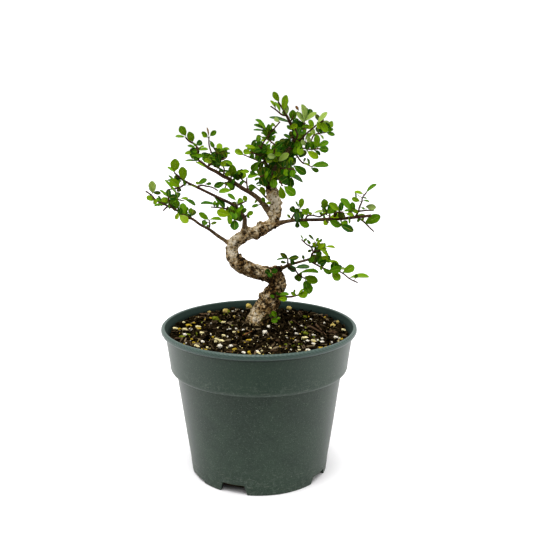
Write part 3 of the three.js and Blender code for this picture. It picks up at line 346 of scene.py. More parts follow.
# %% [markdown]
# The white paper ends in front of the picture's lower edge, and the dark table goes on from there.
# The pot's wall leans towards it and mirrors it, which a floor white all over would turn to grey. The
# paper glows a little, a painted light that fills the shadows on it, so that only a faint shadow is
# left. The glow fades in outwards from the pot's foot, which paints a soft shadow round the pot, and
# it doesn't glow under the pot, or the drain notches would look lit.

# %% Floor finish
# Each pair is where a change starts and ends, in metres: the table towards the eye, the same to both
# sides, and the glow from the pot's axis outwards, whose fade paints a soft shadow round the pot.
TABLE_EDGE = (-0.26, -0.13)
TABLE_SIDES = (0.2, 0.6)
PAINTED_SHADOW_RING = (0.052, 0.085)
GLOW = 0.2

floor_finish, floor_shader, floor_base = new_finish("white_paper", 0.9, 0.0)
floor_place = place_of(floor_base)
off_middle = size_of(part_of(floor_place, 0))
table = between(part_of(floor_place, 1), *TABLE_EDGE, 1, 0) * between(off_middle, *TABLE_SIDES, 1, 0)
floor_tone = blend(table, (0.95, 0.94, 0.95), (0.02, 0.02, 0.02))
feed(floor_tone, floor_shader, "Base Color")
# painted light and painted shadow: the paper glows, but not under the pot, and the glow fades in near its
# foot
glow = blend(between(length_of(floor_place), *PAINTED_SHADOW_RING), (0, 0, 0), floor_tone)
feed(glow, floor_shader, "Emission Color")
floor_shader.inputs["Emission Strength"].default_value = GLOW
paint(floor, floor_finish)
print(floor_finish.name, len(floor_finish.node_tree.nodes), "nodes")

# %% [markdown]
# ## The nursery pot
# The real pot is one thin moulding: a tapered wall, a wider collar, a rolled rim, and a foot ring
# with four drain notches. It is round, so its cross-section is drawn once as a chain of points and
# spun about the upright axis. A stack of cylinders would take as many steps and leave seams.

# %% Pot profile
FOOT_RADIUS = 58.55
WALL_TOP = (70.9, 90.5)
WALL = 1.5


def wall_radius(height):
    return FOOT_RADIUS + (WALL_TOP[0] - FOOT_RADIUS) * height / WALL_TOP[1]


POT_PROFILE = [
    # the underside of the floor and the foot ring
    (0, 3.2), (53.7, 3.2), (54.6, 0.6), (55.2, 0), (58.1, 0), (58.6, 0.25), (58.8, 0.8), (58.9, 2),
    # the wall, with the faint step that its mould leaves
    (wall_radius(8), 8), (wall_radius(8.6) - 0.15, 8.7), (wall_radius(9) - 0.2, 9.2),
    (wall_radius(45), 45), (70.7, 89.7), (70.9, 90.4), (71.5, 90.9), (73.6, 91.1),
    # the collar
    (74.6, 91.5), (75.3, 92.3), (75.7, 93.6), (75.85, 95.5), (75.95, 97.4), (79.2, 121.4), (79.4, 122.2),
    # the rolled rim
    (80.1, 122.7), (81.2, 123), (82.1, 123.6), (82.7, 124.6), (82.85, 125.8), (82.6, 127),
    (81.8, 127.8), (80.8, 128), (80, 127.7), (79.5, 127), (79.3, 126.1),
    # the inside, down to the floor
    (77.5, 123.6), (76.7, 122), (74.3, 98.5), (73.5, 95.6), (71.8, 93.4), (69.6, 91.6), (69.2, 89.8),
    (wall_radius(8) - WALL, 8), (57.3, 6), (56.3, 5), (0, 5),
]


def spun(name, profile, steps):
    """A closed body from a profile of radius and height in millimetres."""
    deselect()
    bpy.ops.mesh.primitive_plane_add(size=MM)
    piece = bpy.context.object
    piece.name = piece.data.name = name
    bpy.ops.object.mode_set(mode="EDIT")
    bpy.ops.mesh.select_mode(type="VERT")
    bpy.ops.mesh.select_all(action="SELECT")
    bpy.ops.mesh.merge(type="CENTER")
    bpy.ops.transform.translate(value=(profile[0][0] * MM, 0, profile[0][1] * MM))
    for (radius, height), (next_radius, next_height) in zip(profile, profile[1:]):
        step = ((next_radius - radius) * MM, 0, (next_height - height) * MM)
        bpy.ops.mesh.extrude_region_move(TRANSFORM_OT_translate={"value": step})
    bpy.ops.mesh.select_all(action="SELECT")
    bpy.ops.mesh.spin(steps=steps, angle=math.tau, center=(0, 0, 0), axis=(0, 0, 1))
    bpy.ops.mesh.select_all(action="SELECT")
    bpy.ops.mesh.remove_doubles(threshold=0.00001)
    bpy.ops.mesh.normals_make_consistent(inside=False)
    bpy.ops.object.mode_set(mode="OBJECT")
    return piece


# %% Spin the pot
pot = spun("pot_shell", POT_PROFILE, 144)
report(pot)

# %% [markdown]
# The drain notches are wider at the foot than at the top. One block is narrowed at its top, turned
# to each notch's place, and cut from the pot by a Boolean modifier. The last one is only a shallow
# step in the foot ring.

# %% Cut the drain notches
# Each row is the angle in degrees, the height, and the width at the foot and at the top.
NOTCHES = [
    (-20.7, 8.6, 24.2, 19.4), (59, 6, 23.4, 18.6), (160, 7.5, 23.4, 18.6), (239, 7.5, 23.4, 18.6),
    (-61, 2, 22, 20),
]
BLOCK_REACH = 59
BLOCK_DEPTH = 18


def notch_block(angle, height, foot, top):
    deselect()
    middle = (0, -BLOCK_REACH * MM, (height - 1) / 2 * MM)
    size = (foot * MM, BLOCK_DEPTH * MM, (height + 1) * MM)
    bpy.ops.mesh.primitive_cube_add(size=1, location=middle, scale=size)
    block = bpy.context.object
    bpy.ops.object.transform_apply(location=True, scale=True)
    pick(block, lambda place: place.z > 0)
    bpy.ops.transform.resize(value=(top / foot, 1, 1))
    bpy.ops.object.mode_set(mode="OBJECT")
    block.rotation_euler.z = math.radians(angle)
    bpy.ops.object.transform_apply(rotation=True)
    return block


for notch in NOTCHES:
    block = notch_block(*notch)
    apply_modifier(pot, "BOOLEAN", object=block, operation="DIFFERENCE", solver="EXACT")
    bpy.data.objects.remove(block)
smooth(pot, 32)
report(pot)

# %% [markdown]
# Nursery plastic is a dark grey-green with a soft sheen. It carries fine pale specks all over, thin
# scratches and grey dust near the foot, and scuffs on the collar's lower edge. All of that is noise
# at the right size, masked by height. The scratches are noise that is squeezed along the wall. The
# rim has fine slanting ridges: the sine of the angle about the pot's axis, to which the radius and the
# height are added to make them slant. Light and shade are painted as well: the collar a little lighter
# than the wall, the rim lighter still as a painted highlight, a thin painted shadow under the rim, and
# painted shade, nearly black, under the floor and inside. The inside is also rougher, and a plain dark
# diffuse shader is mixed in there, which takes its gloss away.

# %% Pot finish
RIDGES = 150
RIDGE_SLANT = 3400

plastic, plastic_shader, base = new_finish("nursery_plastic", 0.4, 0.26)
height = part_of(place_of(base), 2)
radius = length_of(vector_maths("MULTIPLY", place_of(base), (1, 1, 0)))
# patterns: clouds, specks, grain, scratches and scuffs
cloud = noise(base, 24, 3, 0.55)
speck = between(noise(base, 0.72, 1, 0.5), 0.63, 0.7)
grain = noise(base, 1.6, 4, 0.7)
squeezed = vector_maths("MULTIPLY", place_of(base), (1, 1, 7))
scratch = between(noise(base, 7, 4, 0.7, squeezed, 0.5), 0.56, 0.72)
scuff = between(noise(base, 4, 5, 0.75, distortion=0.8), 0.5, 0.7)
# masks by height and radius, in metres
foot = between(height, 0.002, 0.03, 1, 0)
collar_edge = between(height, 0.092, 0.108, 1, 0) * between(height, 0.0895, 0.0925)
rim = between(height, 0.1222, 0.1232)
ribbed = rim * between(radius, 0.0797, 0.0805)
# the colour outside
tone = blend(between(cloud, 0.35, 0.68), (0.006, 0.02, 0.01), (0.012, 0.03, 0.016))
# painted light: from the collar's foot up, the pot is painted a little lighter than the wall
tone = blend(between(height, 0.0908, 0.0918) * 0.36, tone, (0.05, 0.08, 0.06))
# painted highlight: the rolled rim is painted lighter
tone = blend(rim * 0.6, tone, (0.08, 0.13, 0.115))
tone = blend(between(grain, 0.35, 0.7) * 0.16, tone, (0.07, 0.1, 0.075))
tone = blend(speck * 0.26, tone, (0.16, 0.22, 0.16))
tone = blend(scratch * (foot * 0.6 + collar_edge * 0.4 + 0.03), tone, (0.17, 0.18, 0.15))
tone = blend(scuff * (foot * 0.32 + collar_edge * 0.4 + 0.02), tone, (0.15, 0.18, 0.15))
# painted shade under the floor and inside: these get little light, so they are painted nearly black
painted_shade_under_floor = between(radius, 0.0565, 0.0573, 1, 0) * between(height, 0.008, 0.01, 1, 0)
tone = blend(painted_shade_under_floor, tone, (0.004, 0.004, 0.004))
wall_inside = between(radius - height * 0.15, 0.0601, 0.0596) * between(height, 0.09, 0.095)
lip_inside = between(radius, 0.0805, 0.0797) * between(height, 0.1232, 0.1238)
inside = wall_inside.maths("MAXIMUM", wall_inside, lip_inside * between(height, 0.1277, 0.1268))
shaded = inside * between(height, 0.1215, 0.1272, 1, 0.62)
# painted shade: the inner wall and the inside of the lip are painted nearly black, less so towards the rim
tone = blend(shaded * 0.94, tone, (0.003, 0.01, 0.007))
# painted shadow: a thin dark line just under the rolled rim
painted_shadow_under_rim = between(height, 0.1212, 0.1222) * between(height, 0.1236, 0.1229)
tone = blend(painted_shadow_under_rim * 0.8, tone, (0.003, 0.008, 0.005))
# the ridges of the rim
x_of, y_of = part_of(place_of(base), 0), part_of(place_of(base), 1)
slant = y_of.maths("ARCTAN2", y_of, x_of) * RIDGES + (radius + height) * RIDGE_SLANT
ridges = slant.maths("SINE", slant)
tone = blend(between(ridges, -0.8, 0.8) * ribbed * 0.34, tone, (0.01, 0.026, 0.02))
feed(tone, plastic_shader, "Base Color")
feed(0.34 + scuff * (foot + collar_edge) * 0.2 + cloud * 0.1 + inside * 0.5, plastic_shader, "Roughness")
feed(relief(grain * 0.8 + scratch * foot + ridges * ribbed * 1.2, 0.06, 0.6), plastic_shader, "Normal")
# painted shade: a dark diffuse shader is mixed in on the inside, which takes its gloss away
painted_shade_diffuse = base.node("ShaderNodeBsdfDiffuse", {}, {"Color": (0.011, 0.026, 0.021, 1)})
glossy = Wire(base.tree, plastic_shader.outputs[0])
surface = base.node("ShaderNodeMixShader", {}, {0: shaded * 0.5, 1: glossy, 2: painted_shade_diffuse})
feed(surface, plastic.node_tree.nodes["Material Output"], "Surface")
paint(pot, plastic)
print(plastic.name, len(plastic.node_tree.nodes), "nodes")

# %% [markdown]
# ## The potting mix
# The mix is dark bark and peat with white perlite and pale chips. Its bed is one spun body with a
# fine top, roughened by two Displace modifiers: a cloudy one for the humps and a cellular one for
# the crumbs. Loose grains are strewn on it afterwards.

# %% Soil bed
SOIL_LEVEL = 121.5
SOIL_MOUND = 1.6
MOUND_REACH = 30
SOIL_RELIEF = 0.7
BED_RADIUS = 75.6
BED_RINGS = 56


def soil_height(x, y):
    mound = SOIL_MOUND * math.exp(-((math.hypot(x, y - 20) / MOUND_REACH) ** 2))
    waves = math.sin(x * 0.21 + 1.3) * math.cos(y * 0.17) + math.sin(x * 0.43 - y * 0.36)
    return SOIL_LEVEL + mound + SOIL_RELIEF * waves


bed_side = [(0, 5.3), (56, 5.3), (57.9, 8), (68.7, 90), (71.2, 93.5), (73.7, 98.5), (BED_RADIUS, 119.5)]
bed_top = [(BED_RADIUS * (1 - ring / BED_RINGS), SOIL_LEVEL) for ring in range(BED_RINGS + 1)]
bed = spun("soil_bed", bed_side + bed_top, 180)
top_points = [p.index for p in bed.data.vertices if p.co.z > (SOIL_LEVEL - 1) * MM]
bed.vertex_groups.new(name="top").add(top_points, 1, "REPLACE")
for index in top_points:
    point = bed.data.vertices[index]
    point.co.z = soil_height(point.co.x / MM, point.co.y / MM) * MM


def texture(name, kind, size, **settings):
    made = bpy.data.textures.new(name, kind)
    made.noise_scale = size
    for key, value in settings.items():
        setattr(made, key, value)
    return made


humps = texture("soil_humps", "CLOUDS", 7 * MM, noise_depth=3)
crumbs = texture("soil_crumbs", "VORONOI", 2.6 * MM)
for pattern, depth, middle in ((humps, 3.2, 0.55), (crumbs, 1.6, 0.5)):
    way = {"direction": "Z", "vertex_group": "top", "texture_coords": "LOCAL"}
    apply_modifier(bed, "DISPLACE", texture=pattern, strength=depth * MM, mid_level=middle, **way)
smooth(bed, 60)
report(bed)

# %% [markdown]
# Every grain starts from one of a few patterns: a small ball that noise has made lumpy, more or less
# flattened. A pattern has a few dozen faces, because it is copied hundreds of times. Each copy has
# its own mesh, which is turned, stretched and tinted before all are joined.

# %% Grain patterns
def lump(name, fineness, size, depth, flatten=1.0, thin=1.0):
    deselect()
    bpy.ops.mesh.primitive_ico_sphere_add(subdivisions=fineness, radius=0.5)
    piece = bpy.context.object
    piece.name = name
    dents = texture(name, "CLOUDS", size, noise_depth=1)
    apply_modifier(piece, "DISPLACE", texture=dents, strength=depth, mid_level=0.5)
    pick(piece, lambda place: True)
    bpy.ops.transform.resize(value=(1, thin, flatten), center_override=(0, 0, 0))
    bpy.ops.object.mode_set(mode="OBJECT")
    smooth(piece, 40)
    piece.data.attributes.new("tint", "FLOAT_COLOR", "POINT")
    return piece


crumb = lump("crumb", 1, 0.45, 0.8)
pearl = lump("pearl", 2, 0.34, 0.55)
chip = lump("chip", 2, 0.34, 0.55, flatten=0.7, thin=0.85)
splinter = lump("splinter", 2, 0.35, 0.6, flatten=0.28, thin=0.36)
print("patterns:", [(p.name, len(p.data.polygons)) for p in (crumb, pearl, chip, splinter)])


def copy_of(pattern, placing):
    """A copy of a pattern with a mesh of its own, put in place by a matrix."""
    mesh = pattern.data.copy()
    mesh.transform(placing)
    copy = bpy.data.objects.new(pattern.name, mesh)
    scene.collection.objects.link(copy)
    return copy


def strew(pattern, place, size, turn, tint):
    """A copy of a grain, with its place and size in millimetres, its turn and its colour."""
    spread = Matrix.Diagonal((*size, 1))
    move = Matrix.Translation(Vector(place) * MM)
    spin = Euler(turn).to_matrix().to_4x4()
    grain = copy_of(pattern, move @ Matrix.Scale(MM, 4) @ spin @ spread)
    grain.data.attributes["tint"].data.foreach_set("color", (*tint, 1) * len(grain.data.vertices))
    return grain


# %% [markdown]
# The dark crumbs and bark bits fill the whole surface, so they follow a sunflower's spiral, which
# covers a disk evenly. Their size and shade vary from place to place.

# %% Crumbs and bark bits all over
SUNFLOWER_TURN = 2.39996
TRUNK_FOOT = (-1.5, 22)
TRUNK_CLEARANCE = 9.5
CRUMB_COUNT, CRUMB_REACH, CRUMB_SIZES = 900, 74, (1, 3.4)
BARK_COUNT, BARK_REACH, BARK_LENGTHS = 760, 73, (2.2, 8.2)
DARKS = [(0.001, 0.0007, 0.0002), (0.002, 0.0014, 0.0005), (0.006, 0.004, 0.0015), (0.03, 0.019, 0.007)]
BROWNS = [
    (0.0015, 0.001, 0.0004), (0.005, 0.0034, 0.0015), (0.016, 0.011, 0.005), (0.06, 0.041, 0.021),
    (0.12, 0.084, 0.045), (0.21, 0.16, 0.092),
]


def spiral(count, spread, phase):
    for i in range(count):
        radius = spread * math.sqrt((i + 0.6) / count)
        angle = i * SUNFLOWER_TURN + phase + chance(i, phase) * 0.6
        x, y = radius * math.cos(angle), radius * math.sin(angle)
        if math.hypot(x - TRUNK_FOOT[0], y - TRUNK_FOOT[1]) > TRUNK_CLEARANCE:
            yield i, x, y


def any_turn(i, seed, flat=1.0):
    lean = (chance(i, seed) - 0.5) * flat
    tip = (chance(i, seed + 1) - 0.5) * flat
    return (lean, tip, chance(i, seed + 2) * math.tau)


loose = []
for i, x, y in spiral(CRUMB_COUNT, CRUMB_REACH, 0.4):
    size = from_range(CRUMB_SIZES, chance(i, 11) ** 2)
    shade = DARKS[int(chance(i, 12) * len(DARKS))]
    rise = soil_height(x, y) + 0.2 + 0.9 * chance(i, 13)
    stretch = (size, size * (0.6 + 0.4 * chance(i, 14)), size * (0.45 + 0.4 * chance(i, 15)))
    loose.append(strew(crumb, (x, y, rise), stretch, any_turn(i, 16, 2.4), shade))
for i, x, y in spiral(BARK_COUNT, BARK_REACH, 1.9):
    length = from_range(BARK_LENGTHS, chance(i, 21) ** 2)
    shade = BROWNS[int(chance(i, 22) ** 1.3 * len(BROWNS))]
    rise = soil_height(x, y) + 0.7 + 0.9 * chance(i, 23)
    width = length * (0.35 + 0.5 * chance(i, 24))
    stretch = (length, width, length * (0.5 + 0.5 * chance(i, 25)))
    loose.append(strew(splinter, (x, y, rise), stretch, any_turn(i, 26, 1.3), shade))
print(len(loose), "crumbs and bark bits")

# %% [markdown]
# The grains that stand out in the photograph keep their places. They were read on an upright plane
# through the middle of the tree, as x and z in millimetres. The line of sight through such a place
# meets the soil where the grain lies, which takes one division.

# %% Grains that stand out
# Each row is x, z, width and height in the picture.
WHITE = (0.86, 0.8, 0.66)
PERLITE = [
    (-60.5, 118, 3.4, 3), (-65.5, 113.5, 3.6, 2.2), (-64.5, 105.3, 2, 1.3), (-60.5, 107.5, 1.6, 1.2),
    (-50, 107, 3.2, 2.2), (-35, 103, 4.2, 3.6), (-25.2, 103, 3.4, 2.6), (-28.5, 117.8, 2.2, 1.4),
    (-26.3, 118.4, 3, 1.2), (-20.5, 118.8, 2.2, 1.6), (-14.2, 117.3, 2.8, 2.4), (-14, 97, 4, 2),
    (-17, 130.5, 2, 1), (-14.8, 134.5, 1.8, 1.6), (-28, 111.5, 1.6, 1.4), (8, 120.3, 3.4, 3.6),
    (4.8, 115.5, 4.8, 4), (25, 110.4, 2.6, 1.4), (31.8, 108, 1.8, 1.8), (32.5, 114.3, 3.6, 1.8),
    (31, 118.5, 1.8, 1.4), (36.8, 121, 2.4, 2.2), (45, 127.3, 2, 1.6), (24.7, 134.5, 1.8, 1),
    (41.3, 107.3, 5.2, 2.2), (47.5, 113, 4.2, 1.6), (47.3, 105, 3.8, 1.8), (51.3, 108.3, 2, 1.6),
    (55, 109.6, 3.4, 1.6), (55, 106.8, 4, 1.8), (63.5, 106.3, 2, 2.2), (67, 111.2, 4, 1.4),
    (70.3, 110, 2, 1.2), (42.4, 99.3, 4.6, 2.4), (27.8, 99.5, 1.5, 1.2), (46, 124, 1.8, 1.2),
    (56.8, 124, 1.8, 1.4), (-23.2, 134.5, 2.2, 1), (-2, 98, 3, 2), (6.5, 94.5, 3.4, 1.8),
]
CREAM_TINT = (0.8, 0.7, 0.36)
CREAM = [
    (-54, 120.6, 5.2, 2), (-65.5, 118, 5, 3), (-74.3, 119.2, 4.6, 1.8), (-55.5, 103, 5.4, 2.4),
    (-31.5, 112.6, 4, 2), (-36, 119.5, 2.6, 1.6), (-32, 124.5, 5, 1.4), (-37.5, 109, 5, 3),
    (-33.8, 107.8, 5.4, 2.4), (-38.6, 107, 3, 2), (-1, 96.5, 4, 2.2), (9.8, 101, 3, 1.6),
    (2, 98.4, 2.4, 1.6), (39.5, 110.6, 6.4, 2), (47.4, 107.8, 5, 2.6), (34.8, 99.3, 3, 1.6),
    (73.5, 117.8, 4.2, 1.8), (69.5, 107.3, 2.4, 1.4), (-45.4, 101.5, 4.6, 1.8), (23.5, 112, 2, 1.2),
    (-22.4, 115.6, 3.2, 1.8), (-66.6, 124.5, 3.4, 1.4), (46.5, 97.7, 2.4, 1), (-50.4, 115, 4.6, 2),
]
GOLD_TINT = (0.46, 0.32, 0.03)
GOLD = [
    (-62, 121.8, 6, 2.6), (-54, 119, 5, 1.8), (-70.3, 118.2, 3.6, 2), (-57.4, 124, 3, 1.4),
    (-59.6, 109, 2.6, 1.8), (-58, 106, 3, 2), (-65.8, 104.3, 2.2, 1.2), (-9.5, 108.2, 6, 1.8),
    (-22, 99.5, 4.8, 3), (-9.3, 97, 3.2, 3), (-8, 95, 2, 1.6), (-47.5, 127, 1.8, 1.4),
    (-18.5, 115.3, 2, 2), (-42.5, 128.4, 3, 1.6), (28.5, 109.4, 3.8, 2), (18, 102.6, 1.8, 1.2),
    (41.5, 97.7, 5, 1.6), (54, 101, 6, 2.2), (59.5, 102, 4.4, 1.4), (18.5, 94.6, 2.6, 1.6),
    (30.3, 95.6, 3.4, 1.2), (43, 129.6, 1.8, 1.2), (74, 109, 3, 1.6), (-47.4, 99.6, 3, 1.4),
    (48, 106.6, 2, 1.2), (7.5, 109, 2, 1.4), (-41, 111, 2.6, 2), (57.2, 128.6, 2.6, 2.6),
]
OLIVE_TINT = (0.16, 0.19, 0.015)
OLIVE = [
    (-68.4, 111.4, 6.4, 2.4), (-63, 113.6, 5, 1.6), (-38.6, 128, 6.6, 4), (-29.3, 131.6, 5, 1.4),
    (-55, 114, 1.6, 3), (39.6, 114.8, 7, 2.6), (27.5, 124.5, 3.6, 1.8), (39.6, 129.6, 5, 2),
    (23, 104.4, 3, 1.4), (30.2, 103, 5, 1.8), (-34.5, 125.4, 3, 1.4), (35.5, 104.5, 4, 1),
    (4, 125.5, 5, 2), (0, 122.6, 4.4, 2), (47.5, 111, 2.6, 1.6), (-24, 121.5, 3, 1),
]
TAN_TINT = (0.55, 0.42, 0.13)
PEBBLES = [
    (-29.6, 135, 5.6, 4.2), (26.8, 138.6, 4.4, 3.6), (-47, 135, 3.2, 2.2),
    (69, 125, 3, 2.6), (64, 121.8, 4.6, 3.4), (-22, 130, 2.4, 1.6),
]
BARK_TINT = (0.085, 0.05, 0.027)
STRIPS = [
    (-45.5, 132.2, 16, 1.5), (-17, 122.2, 4.6, 1.4), (-53.5, 129, 4.5, 2), (-72, 110, 5.5, 2),
    (17, 107.8, 7, 2.4), (63.5, 115.8, 8, 3), (60.5, 131, 3, 3.6), (36, 134, 4, 2), (12, 98.6, 6.5, 3),
    (-27, 97.5, 6, 1.4), (21.5, 101.4, 5, 1.8), (24, 116.5, 3.4, 3), (-50, 111.6, 3.6, 2),
]
RUST_TINT = (0.2, 0.085, 0.03)
# Sticks are known by both ends: x, z, x, z and thickness, then a tint if it is not the bark's.
STICKS = [
    (42, 121, 54, 114.4, 2), (48, 122.8, 57.6, 112.8, 1.8), (-16, 110.5, -3, 117, 1.1, RUST_TINT),
    (28.5, 126, 34.6, 121.4, 1), (34, 134, 37.5, 131, 0.9), (61, 117.5, 66, 113.5, 1.4),
    (-57, 127.6, -49.5, 128.6, 1.4), (55, 131, 58.5, 125.5, 1.3),
]


FARTHEST_GRAIN = 72.5
TOP_OF_CRUMBS = SOIL_LEVEL + 0.8


def on_soil(x, z):
    """Where the line of sight through x and z, on the upright plane, meets the soil."""
    share = (TOP_OF_CRUMBS - EYE.z) / (z - EYE.z)
    place = EYE + (Vector((x, PLANE, z)) - EYE) * share
    reach = math.hypot(place.x, place.y)
    if reach > FARTHEST_GRAIN:
        place.x *= FARTHEST_GRAIN / reach
        place.y *= FARTHEST_GRAIN / reach
    return place, share


# The last two are the big yellow pebble and the chip behind it.
KINDS = [
    (PERLITE, pearl, WHITE), (CREAM, chip, CREAM_TINT), (GOLD, chip, GOLD_TINT),
    (OLIVE, chip, OLIVE_TINT), (PEBBLES, pearl, TAN_TINT), (STRIPS, splinter, BARK_TINT),
    ([(-9.8, 140, 5.4, 4.6)], pearl, (0.66, 0.5, 0.12)), ([(-27, 134.4, 2.6, 3.4)], chip, OLIVE_TINT),
]
# How high the middle of a grain lies, as a share of its height, and how much its tint may vary.
GRAIN_MIDDLE = 0.42
TINT_RANGE = (0.82, 1.18)

for rows, pattern, tint in KINDS:
    for x, z, width, tall in rows:
        place, share = on_soil(x, z - tall * 0.5)
        wide = width * share
        high = tall * share
        place.z = SOIL_LEVEL + 0.5 + high * GRAIN_MIDDLE
        shade = [c * from_range(TINT_RANGE, chance(x, z)) for c in tint]
        if pattern is splinter:
            size = (wide * 1.05, wide * 0.9, high * 3)
            turn = (0, 0, (chance(z, x) - 0.5) * 0.5)
        else:
            size = (wide * 0.95, (wide + high) * 0.55, high * 1.05 if pattern is pearl else high * 1.6)
            turn = ((chance(x, 5) - 0.5) * 0.6, (chance(x, 6) - 0.5) * 0.5, (chance(x, 7) - 0.5) * 1.2)
        loose.append(strew(pattern, place, size, turn, shade))
for x, z, far_x, far_z, thickness, *tint in STICKS:
    start, end = on_soil(x, z)[0], on_soil(far_x, far_z)[0]
    run = end - start
    place = (start + end) / 2 + Vector((0, 0, 0.8))
    size = (run.length * 1.05, thickness * 3, thickness * 3)
    turn = (0, 0, math.atan2(run.y, run.x))
    loose.append(strew(splinter, place, size, turn, *(tint or [BARK_TINT])))

# %% White crumbs and pale chips between them
SMALL_TINTS = [WHITE, CREAM_TINT, GOLD_TINT, TAN_TINT, CREAM_TINT, OLIVE_TINT]
SMALL_SHARE = 0.3
SMALL_COUNT, SMALL_REACH, SMALL_SIZES = 520, 73, (0.7, 2)

for i, x, y in spiral(SMALL_COUNT, SMALL_REACH, 4.1):
    if chance(i, 35) > SMALL_SHARE - y * 0.004:
        continue
    size = from_range(SMALL_SIZES, chance(i, 31) ** 3)
    shade = SMALL_TINTS[int(chance(i, 32) * len(SMALL_TINTS))]
    rise = soil_height(x, y) + 1.1 + 0.3 * chance(i, 33)
    loose.append(strew(crumb, (x, y, rise), (size, size, size * 0.8), any_turn(i, 34, 2), shade))

grains = join(loose, "soil_grains")
for pattern in (crumb, pearl, chip, splinter):
    bpy.data.objects.remove(pattern)
report(grains)

# %% [markdown]
# Two finishes serve the mix. The bed is nearly black, with brown fibres. The grains read their own
# tint from the mesh, and noise breaks it up, so that no two look the same.

# %% Soil finishes
peat, peat_shader, base = new_finish("peat", 0.95, 0.0)
fibre = noise(base, 1.4, 4, 0.7, distortion=1.2)
patch = noise(base, 6, 3)
tone = blend(between(fibre, 0.45, 0.72), (0.0012, 0.0008, 0.0003), (0.05, 0.034, 0.015))
tone = blend(between(patch, 0.55, 0.8) * 0.5, tone, (0.07, 0.048, 0.022))
feed(tone, peat_shader, "Base Color")
feed(relief(fibre + cells(base, 1.8) * 0.5, 0.7), peat_shader, "Normal")
paint(bed, peat)

grain_finish, grain_shader, base = new_finish("mix_grains", 0.9, 0.0)
tint = written(base, "tint", out=0)
spots = noise(base, 1, 4, 0.7)
darker = vector_maths("SCALE", tint, 0.5, "Scale")
tone = blend(between(spots, 0.34, 0.5), darker, tint)
feed(tone, grain_shader, "Base Color")
feed(relief(spots, 0.35), grain_shader, "Normal")
paint(grains, grain_finish)
print(peat.name, grain_finish.name)

# %% [markdown]
# ## The trunk
# The trunk was read in the photograph at thirty places, each with its radius and a depth that suits
# the bends. A depth can't be read from one picture, but a place may slide along its line of sight
# without changing the picture. So the tree keeps its outline and still gets body from the side.

# %% Lines of sight and courses
Stop = namedtuple("Stop", "x z depth radius")


def at(x, z, depth):
    """The real place, in metres, of x and z seen on the upright plane, at another depth."""
    share = (depth - EYE.y) / (PLANE - EYE.y)
    return (EYE + (Vector((x, PLANE, z)) - EYE) * share) * MM


def limbs(name, courses, sides, steps=4):
    """Tubes along courses of stops, made as smooth curves and turned into one mesh."""
    deselect()
    bpy.ops.curve.primitive_bezier_curve_add()
    piece = bpy.context.object
    piece.name = name
    line = piece.data
    line.splines.clear()
    line.dimensions = "3D"
    line.bevel_depth = 1.0
    line.bevel_resolution = sides // 2 - 2
    line.resolution_u = steps
    line.use_fill_caps = True
    for course in courses:
        spline = line.splines.new("BEZIER")
        spline.bezier_points.add(len(course) - 1)
        for bend, stop in zip(spline.bezier_points, course):
            bend.co = at(stop.x, stop.z, stop.depth)
            bend.radius = stop.radius * MM
            bend.handle_left_type = bend.handle_right_type = "AUTO"
    bpy.ops.object.convert(target="MESH")
    piece = bpy.context.object
    pick(piece, lambda place: True)
    bpy.ops.mesh.remove_doubles(threshold=0.00002)
    bpy.ops.mesh.normals_make_consistent(inside=False)
    bpy.ops.object.mode_set(mode="OBJECT")
    return piece


# %% Trunk readings
# Each row is x, z, radius and depth in millimetres.
TRUNK = [
    (-6, 98, 10.5, 22), (-3, 112, 11.5, 22), (-1.2, 124, 10.8, 22), (4.2, 134, 10.3, 22),
    (7.2, 140, 9.6, 22.5), (10.4, 147, 9.2, 23), (13, 152.5, 7.9, 23.5), (15.6, 156.4, 7.3, 24),
    (15.6, 160.5, 7.4, 24), (12.4, 164.9, 7.8, 23.5), (7, 167.3, 6.7, 22.5), (0, 168.8, 6.3, 20),
    (-8, 171.5, 6.2, 18), (-15, 175, 6.3, 16), (-20.5, 179.5, 6, 14.5), (-23, 185, 5.6, 14),
    (-23, 190, 5.2, 14), (-20.5, 195.5, 5.2, 14.5), (-15, 199.5, 5.1, 15.5), (-8, 202.5, 4.8, 17),
    (0, 205, 4.8, 18.5), (6, 208.5, 4.7, 19.5), (11, 212, 4.7, 20), (13.5, 217, 4.6, 20),
    (14.2, 224, 4.5, 19.5), (13.4, 230, 4.9, 19), (11.6, 236, 5.2, 18.5), (10.4, 242, 5, 18),
    (10, 248, 4.3, 18), (10.6, 251, 3.7, 18),
]

KNOBS = [
    (16.6, 157.8, 6.9, 23), (1, 211, 3, 18.5), (-1.5, 200.2, 2.6, 18), (-16.2, 184, 1.8, 15.5),
    (14.5, 171.5, 4, 23), (17, 229, 2.6, 19), (-8, 205.5, 3, 17), (1.5, 149.5, 2.2, 21),
    (-24, 181, 4.4, 14),
]

# %% [markdown]
# ## The branches
# Every leafy part is a stem, its twigs and its leaves. A stem is a list of x, z and radius, and its
# depth runs from the first to the second value of "depth". A twig is a list of places and the reach
# of its tip to the back. A leaf is its foot, its tip and its width. A spot is a leaf known by its
# middle, width and length. The words after them say whether it hangs in front or behind, and its
# colour where that stands out: dark is painted shade and bright is painted light.

# %% Words for the leaves
FRONT, EITHER, BEHIND = 1, 0, -1
DARK, MIDDLE, BRIGHT, PALE, GREY, TAN = "dark", "middle", "bright", "pale", "grey", "tan"
OLIVE_LEAF = "olive"

